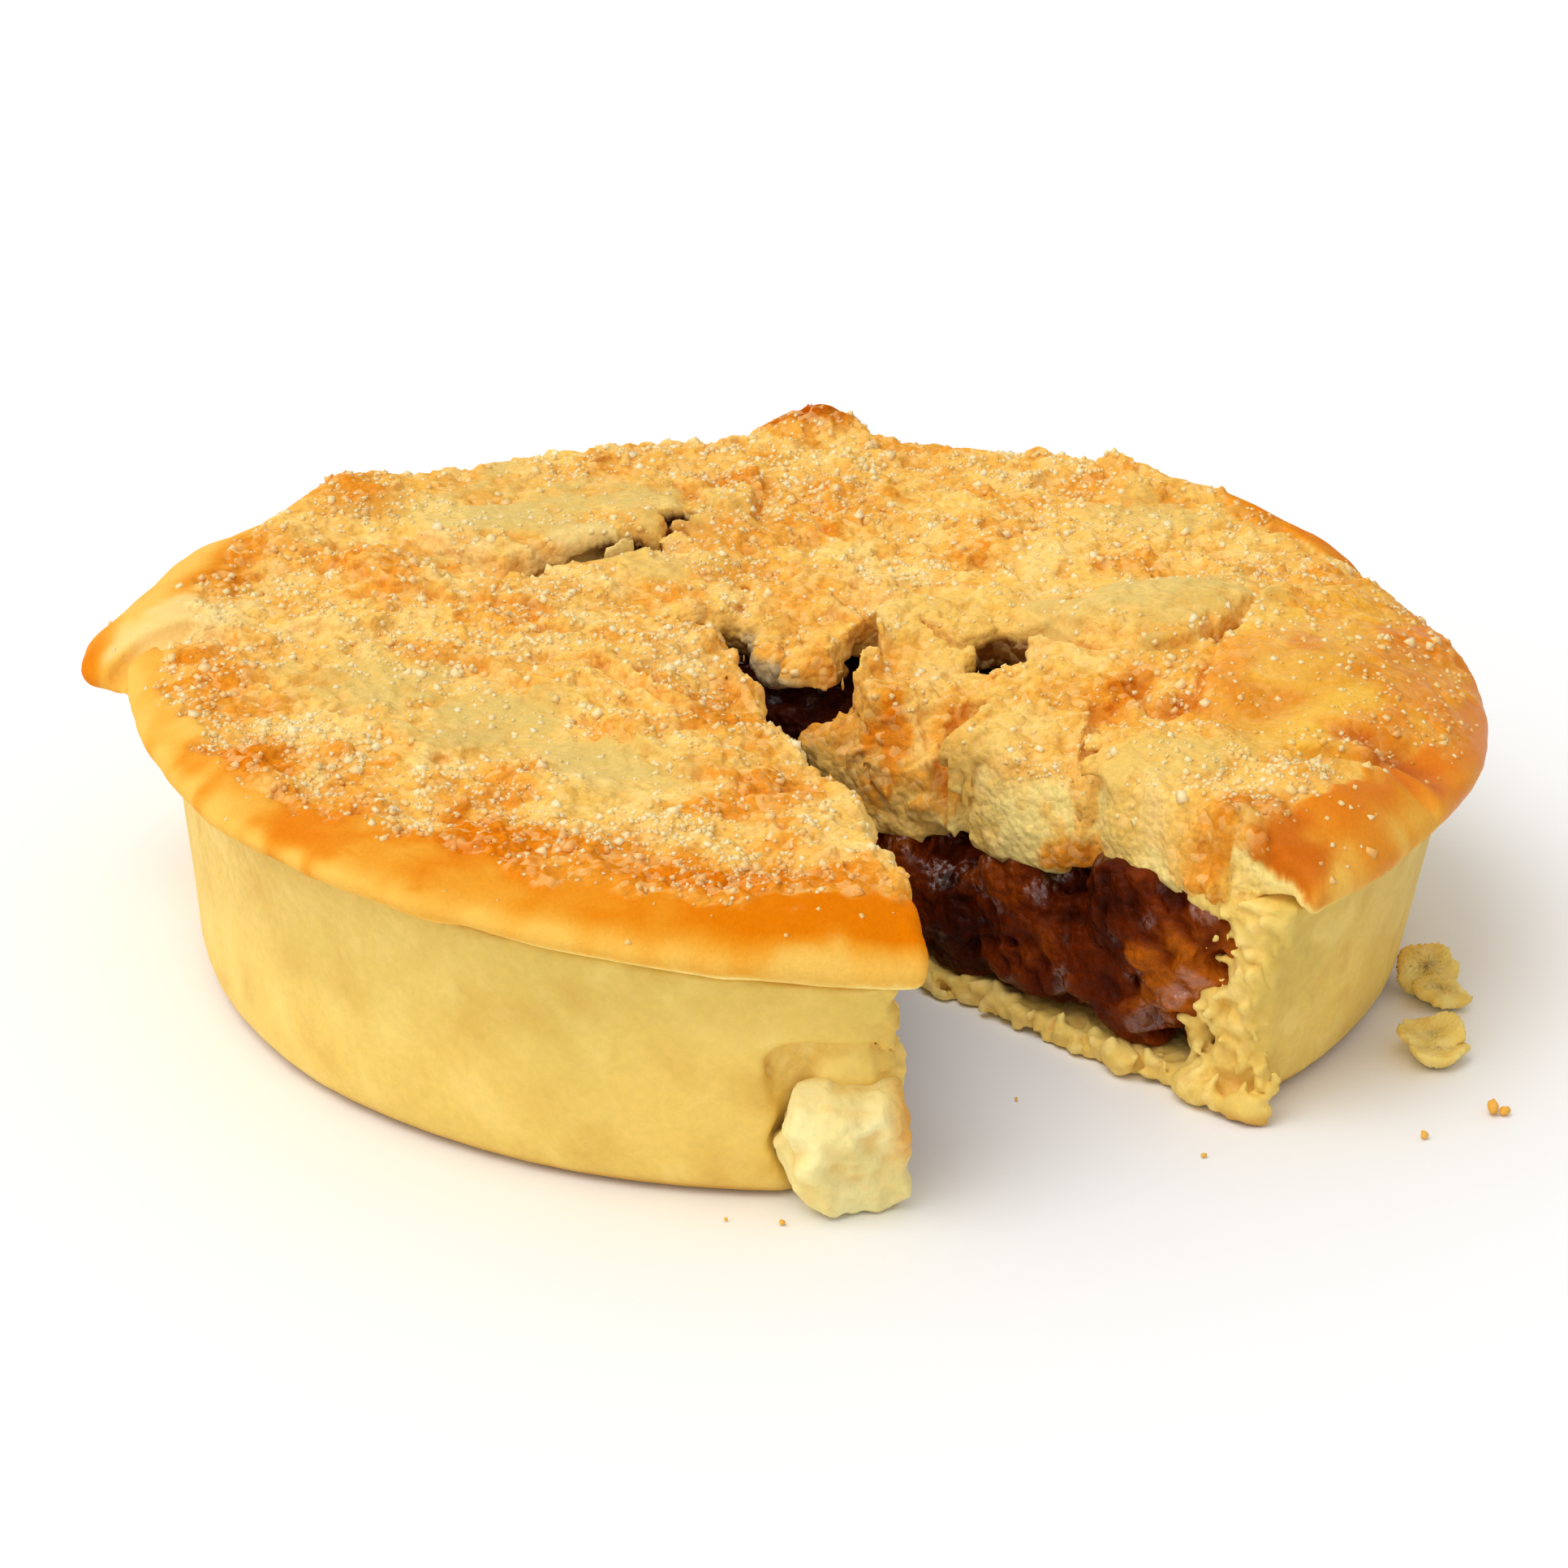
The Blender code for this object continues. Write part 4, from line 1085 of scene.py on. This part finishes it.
def make_filling():
    filling = Volume("filling")
    filling.soften(0.6)
    add_apple(filling)
    lumpy = 0.22 * filling.noise(3.2, 53) + 0.3 * filling.ridges(1.7, 51) - 0.2 * filling.ridges(0.95, 52)
    filling.dist -= lumpy
    filling.dist = np.maximum(filling.dist, 2.5 - filling.z)
    points, faces = filling.surface(0.01)
    height = filling.sample(lumpy, points)
    blotch = filling.sample(filling.noise(4.5, 54), points)
    along = right_cut_place(points)[0]
    colours = painted(points, APPLE, (
        # Lighter on the lumps' crests, most on the right lumps, and darker in the crevices: partly the
        # apple's own tone, partly painted highlight and painted shade.
        (APPLE_HIGH, ease(height + 0.25 * blotch, 0.0, 0.9) * (0.35 + 0.6 * ease(along, 22, 38))),
        (APPLE_SHADE, ease(-height - 0.2 * blotch, -0.1, 0.6) * 0.75),
        # Painted shade on the filling's top near the point of the cut, where it lies deep under the lid.
        (APPLE_SHADE, 0.7 * ease(points[:, 2], 13.0, 17.0) * ease(20.0 - along, 0.0, 10.0)),
    ))
    wet = ease(filling.sample(filling.noise(1.4, 55), points) + 0.6 * height, 0.45, 1.15)
    material = food_material("apple_filling", (0.35, 0.12), 0.6, 0.3, 0.3, 0.04, 0.0, (0.06, 1.0))
    obj = make_mesh("apple_filling", points, faces, material, colours, wet, 1.0)
    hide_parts("filling")


def make_chunk():
    chunk = Volume("crust_chunk")
    chunk.soften(0.25)
    x, y, z = np.meshgrid(*chunk.axes, indexing="ij")
    for normal, depth in CHUNK_FACES:
        reach = x * normal[0] + y * normal[1] + z * normal[2]
        chunk.dist = np.maximum(chunk.dist, reach - reach[chunk.dist < 0].max() + depth)
    grain = 0.12 * chunk.noise(2.4, 61) - 0.22 * chunk.ridges(1.5, 62) + 0.14 * chunk.noise(0.7, 63)
    chunk.dist -= grain - 0.1
    for line, radius in CHUNK_CRACKS:
        chunk.path(line, radius)
    chunk.dist = np.maximum(chunk.dist, 0.05 - chunk.z)
    points, faces = chunk.surface(0.01)
    blotch = chunk.sample(chunk.noise(3.0, 64), points)
    colours = painted(points, CHUNK_LOOK, (
        (WALL_HIGH, 0.2 + 0.15 * blotch),
        (BAND_BROWN, 0.55 * ease(points[:, 0], 6.0, 9.0) * ease(points[:, 2], 3.0, 7.0)),
        (CRUMB_LOW, ease(-chunk.sample(grain, points), 0.1, 0.8) * 0.35),
    ))
    material = food_material("broken_crust", (0.65, 0.5), 0.5, 0.12, 0.07, 0.15)
    obj = make_mesh("broken_crust", points, faces, material, colours, 0.1, 0.7)
    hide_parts("crust_chunk")


def make_camera():
    """The photo's camera: back from the pie and above it, with no roll."""
    camera = bpy.data.cameras.new("camera")
    camera.sensor_fit = "HORIZONTAL"
    camera.sensor_width = SENSOR_WIDTH
    camera.lens = SENSOR_WIDTH * FOCAL_PIXELS / PHOTO_WIDTH
    camera.clip_start, camera.clip_end = 0.01, 20
    obj = bpy.data.objects.new("camera", camera)
    bpy.context.scene.collection.objects.link(obj)
    obj.location = [(place + centre) * MM for place, centre in zip(CAMERA_PLACE, (*BASE_CENTRE, 0))]
    obj.rotation_euler = (math.radians(90) - math.radians(CAMERA_TIP), 0, math.radians(CAMERA_TURN))
    bpy.context.scene.camera = obj


def make_floor():
    mesh = bpy.data.meshes.new("floor")
    corners = [(-FLOOR_REACH, -FLOOR_REACH), (FLOOR_REACH, -FLOOR_REACH)]
    corners += [(FLOOR_REACH, FLOOR_REACH), (-FLOOR_REACH, FLOOR_REACH)]
    mesh.from_pydata([(x, y, 0) for x, y in corners], [], [(0, 1, 2, 3)])
    floor = bpy.data.objects.new("floor", mesh)
    floor.location.z = -FLOOR_DROP
    bpy.context.scene.collection.objects.link(floor)
    look = Look(bpy.data.materials.new("floor"))
    look.feed(look.shader, {"Base Color": (0.92, 0.92, 0.92, 1), "Roughness": 0.6})
    mesh.materials.append(look.owner)


def make_light():
    """A sky that is brighter on the left, and one soft key light."""
    sky = Look(bpy.data.worlds.new("studio"), "Background")
    place = sky.add("ShaderNodeTexCoord", {})["Generated"]
    across = sky.add("ShaderNodeSeparateXYZ", {"Vector": place})["X"]
    strength = sky.ramp(across, (-1, 1), (SKY_LEFT, SKY_RIGHT))
    sky.feed(sky.shader, {"Color": (1, 1, 1, 1), "Strength": strength})
    bpy.context.scene.world = sky.owner
    bpy.context.scene.view_settings.view_transform = "Standard"
    sun = bpy.data.lights.new("key", "SUN")
    sun.angle = math.radians(KEY_SPREAD)
    sun.energy = KEY_ENERGY
    key = bpy.data.objects.new("key", sun)
    key.rotation_euler = (math.radians(90 - KEY_ELEVATION), 0, math.radians(KEY_AZIMUTH + 90))
    bpy.context.scene.collection.objects.link(key)


def make_sugar(lid_obj, lid, crumbly, lid_colours):
    """Crystals of sugar on the lid, half sunk into it."""
    mesh = lid_obj.data
    centre = read(mesh.polygons, "center", 3) / MM - np.array((*BASE_CENTRE, 0), np.float32)
    normal = read(mesh.polygons, "normal", 3)
    clusters = ease(lid.flat_noise(4.0, 71), -0.4, 1.2)
    density = 0.02 + crumbly * (0.25 + 0.75 * clusters)
    density = density * (1 - 0.8 * patches(lid.x, lid.y, clusters, PALE_PATCHES))
    density = density + patches(lid.x, lid.y, clusters, SUGARY_PATCHES, soft=0.5) * (0.5 + clusters)
    chance = read(mesh.polygons, "area") * lid.sample(density, centre) * ease(normal[:, 2], 0.2, 0.6)
    chance = chance * ease(centre[:, 2], 22, 24) * (centre[:, 2] < TOP_LIMIT - 0.5)
    rng = np.random.default_rng(72)
    picked = rng.choice(len(chance), SUGAR_CRYSTALS, replace=False, p=chance / chance.sum())
    size = rng.gamma(6.0, 0.057, (SUGAR_CRYSTALS, 1, 1)).clip(0.2, 0.8)
    cube = np.array([(a, b, c) for a in (-0.5, 0.5) for b in (-0.5, 0.5) for c in (-0.5, 0.5)])
    shapes = cube[None] * rng.uniform(0.7, 1.2, (SUGAR_CRYSTALS, 1, 3))
    shapes = shapes + rng.normal(0, 0.06, (SUGAR_CRYSTALS, 8, 3))
    shapes = np.einsum("nij,nkj->nki", random_turns(rng, SUGAR_CRYSTALS), shapes) * size
    places = centre[picked] + normal[picked] * size[:, :, 0] * -0.14
    points = (shapes + places[:, None, :]).reshape(-1, 3)
    sides = np.array([(0, 1, 3, 2), (4, 6, 7, 5), (0, 4, 5, 1), (2, 3, 7, 6), (0, 2, 6, 4), (1, 5, 7, 3)])
    faces = (sides[None] + 8 * np.arange(SUGAR_CRYSTALS)[:, None, None]).reshape(-1, 4)
    corner = read(mesh.loops, "vertex_index", kind=np.int32)
    start = read(mesh.polygons, "loop_start", kind=np.int32)
    under = lid_colours[corner[start[picked]]]
    colours = under + (np.array(SUGAR, np.float32) - under) * rng.uniform(0.2, 0.85, (SUGAR_CRYSTALS, 1))
    obj = make_mesh("sugar", points, (faces,), sugar_material(), np.repeat(colours, 8, 0), smooth=False)


def random_turns(rng, count):
    """Rotation matrices that turn things every way."""
    q = rng.normal(size=(count, 4))
    w, x, y, z = (q / np.linalg.norm(q, axis=1, keepdims=True)).T
    rows = (
        (1 - 2 * (y * y + z * z), 2 * (x * y - z * w), 2 * (x * z + y * w)),
        (2 * (x * y + z * w), 1 - 2 * (x * x + z * z), 2 * (y * z - x * w)),
        (2 * (x * z - y * w), 2 * (y * z + x * w), 1 - 2 * (x * x + y * y)),
    )
    return np.moveaxis(np.array(rows), 2, 0)


def flake(centre, half, thick, turns, curl, seed):
    """A thin curled flake of crust with a ragged edge, standing on the floor."""
    rng = np.random.default_rng(seed)
    rings, sides = 16, 90
    angle = np.arange(sides) * 2 * math.pi / sides
    edge = 1 + sum(rng.uniform(-0.24, 0.24) / k * np.sin(k * angle + rng.uniform(0, 6)) for k in EDGE_WAVES)
    edge = edge + rng.uniform(-0.05, 0.05, sides)
    share = np.arange(1, rings + 1)[:, None] / rings
    px, py = share * edge * np.cos(angle) * half[0], share * edge * np.sin(angle) * half[1]
    wave = 0.25 * np.sin(px * 1.4 + seed) + 0.2 * np.sin(py * 1.9 + 2 * seed)
    lift = curl * share**2 * (1 + 0.5 * np.cos(2 * angle)) + wave * share
    lift = lift + rng.uniform(-0.05, 0.05, (rings, sides))
    body = thick / 2 * (1 - 0.75 * share**4) * (1 + rng.uniform(-0.15, 0.15, (rings, sides)))
    upper = np.stack([px, py, lift + body], 2).reshape(-1, 3)
    lower = np.stack([px, py, lift - body], 2)[::-1].reshape(-1, 3)
    points = np.vstack([[(0, 0, thick / 2)], upper, lower, [(0, 0, -thick / 2)]])
    ring = 1 + np.arange(2 * rings * sides).reshape(-1, sides)
    after = np.roll(ring, -1, axis=1)
    quads = np.stack([ring[:-1], ring[1:], after[1:], after[:-1]], 2).reshape(-1, 4)
    first, last = np.zeros(sides, int), np.full(sides, len(points) - 1)
    above = np.stack([first, ring[0], after[0]], 1)
    below = np.stack([last, after[-1], ring[-1]], 1)
    turn = np.array(Euler([math.radians(t) for t in turns]).to_matrix())
    points = points @ turn.T + centre
    points[:, 2] += 0.05 - points[:, 2].min()
    return points, np.vstack([above, below]), quads


def crumb(x, y, size, seed):
    """A small rough crumb that stands on the floor. It has triangles and no quads."""
    rng = np.random.default_rng(seed)
    bm = bmesh.new()
    bmesh.ops.create_icosphere(bm, subdivisions=2, radius=1)
    points = np.array([v.co for v in bm.verts])
    triangles = np.array([[v.index for v in face.verts] for face in bm.faces])
    bm.free()
    points = points * rng.uniform(0.75, 1.25, 3) * (1 + rng.uniform(-0.2, 0.2, (len(points), 1))) * size / 2
    points = points + (x, y, 0)
    points[:, 2] += 0.02 - points[:, 2].min()
    return points, triangles, np.empty((0, 4), int)


def make_scraps():
    """The flakes and crumbs beside the pie, as one piece. The crumbs are browner."""
    parts = [flake(*place) for place in FLAKES]
    flake_points = sum(len(part[0]) for part in parts)
    parts += [crumb(*place, 90 + k) for k, place in enumerate(CRUMBS)]
    points, triangles, quads = zip(*parts)
    starts = np.cumsum([0, *map(len, points)])
    triangles = np.vstack([part + start for part, start in zip(triangles, starts)])
    quads = np.vstack([part + start for part, start in zip(quads, starts)])
    points = np.vstack(points)
    pattern = np.sin(points[:, 0] * 2.1) * np.sin(points[:, 1] * 1.7)
    colours = painted(points, WALL_LOW, (
        (FACE_CRUMB, 0.5 + 0.4 * pattern),
        (BROWN, 0.4 * (np.arange(len(points)) >= flake_points)),
    ))
    material = food_material("scraps", (0.6, 0.5), 0.5, 0.1, 0.08, 0.2)
    obj = make_mesh("scraps", points, (triangles, quads), material, colours, 0.2)


make_camera()
make_floor()
make_light()
make_sugar(*make_lid())
make_case()
make_filling()
make_chunk()
make_scraps()
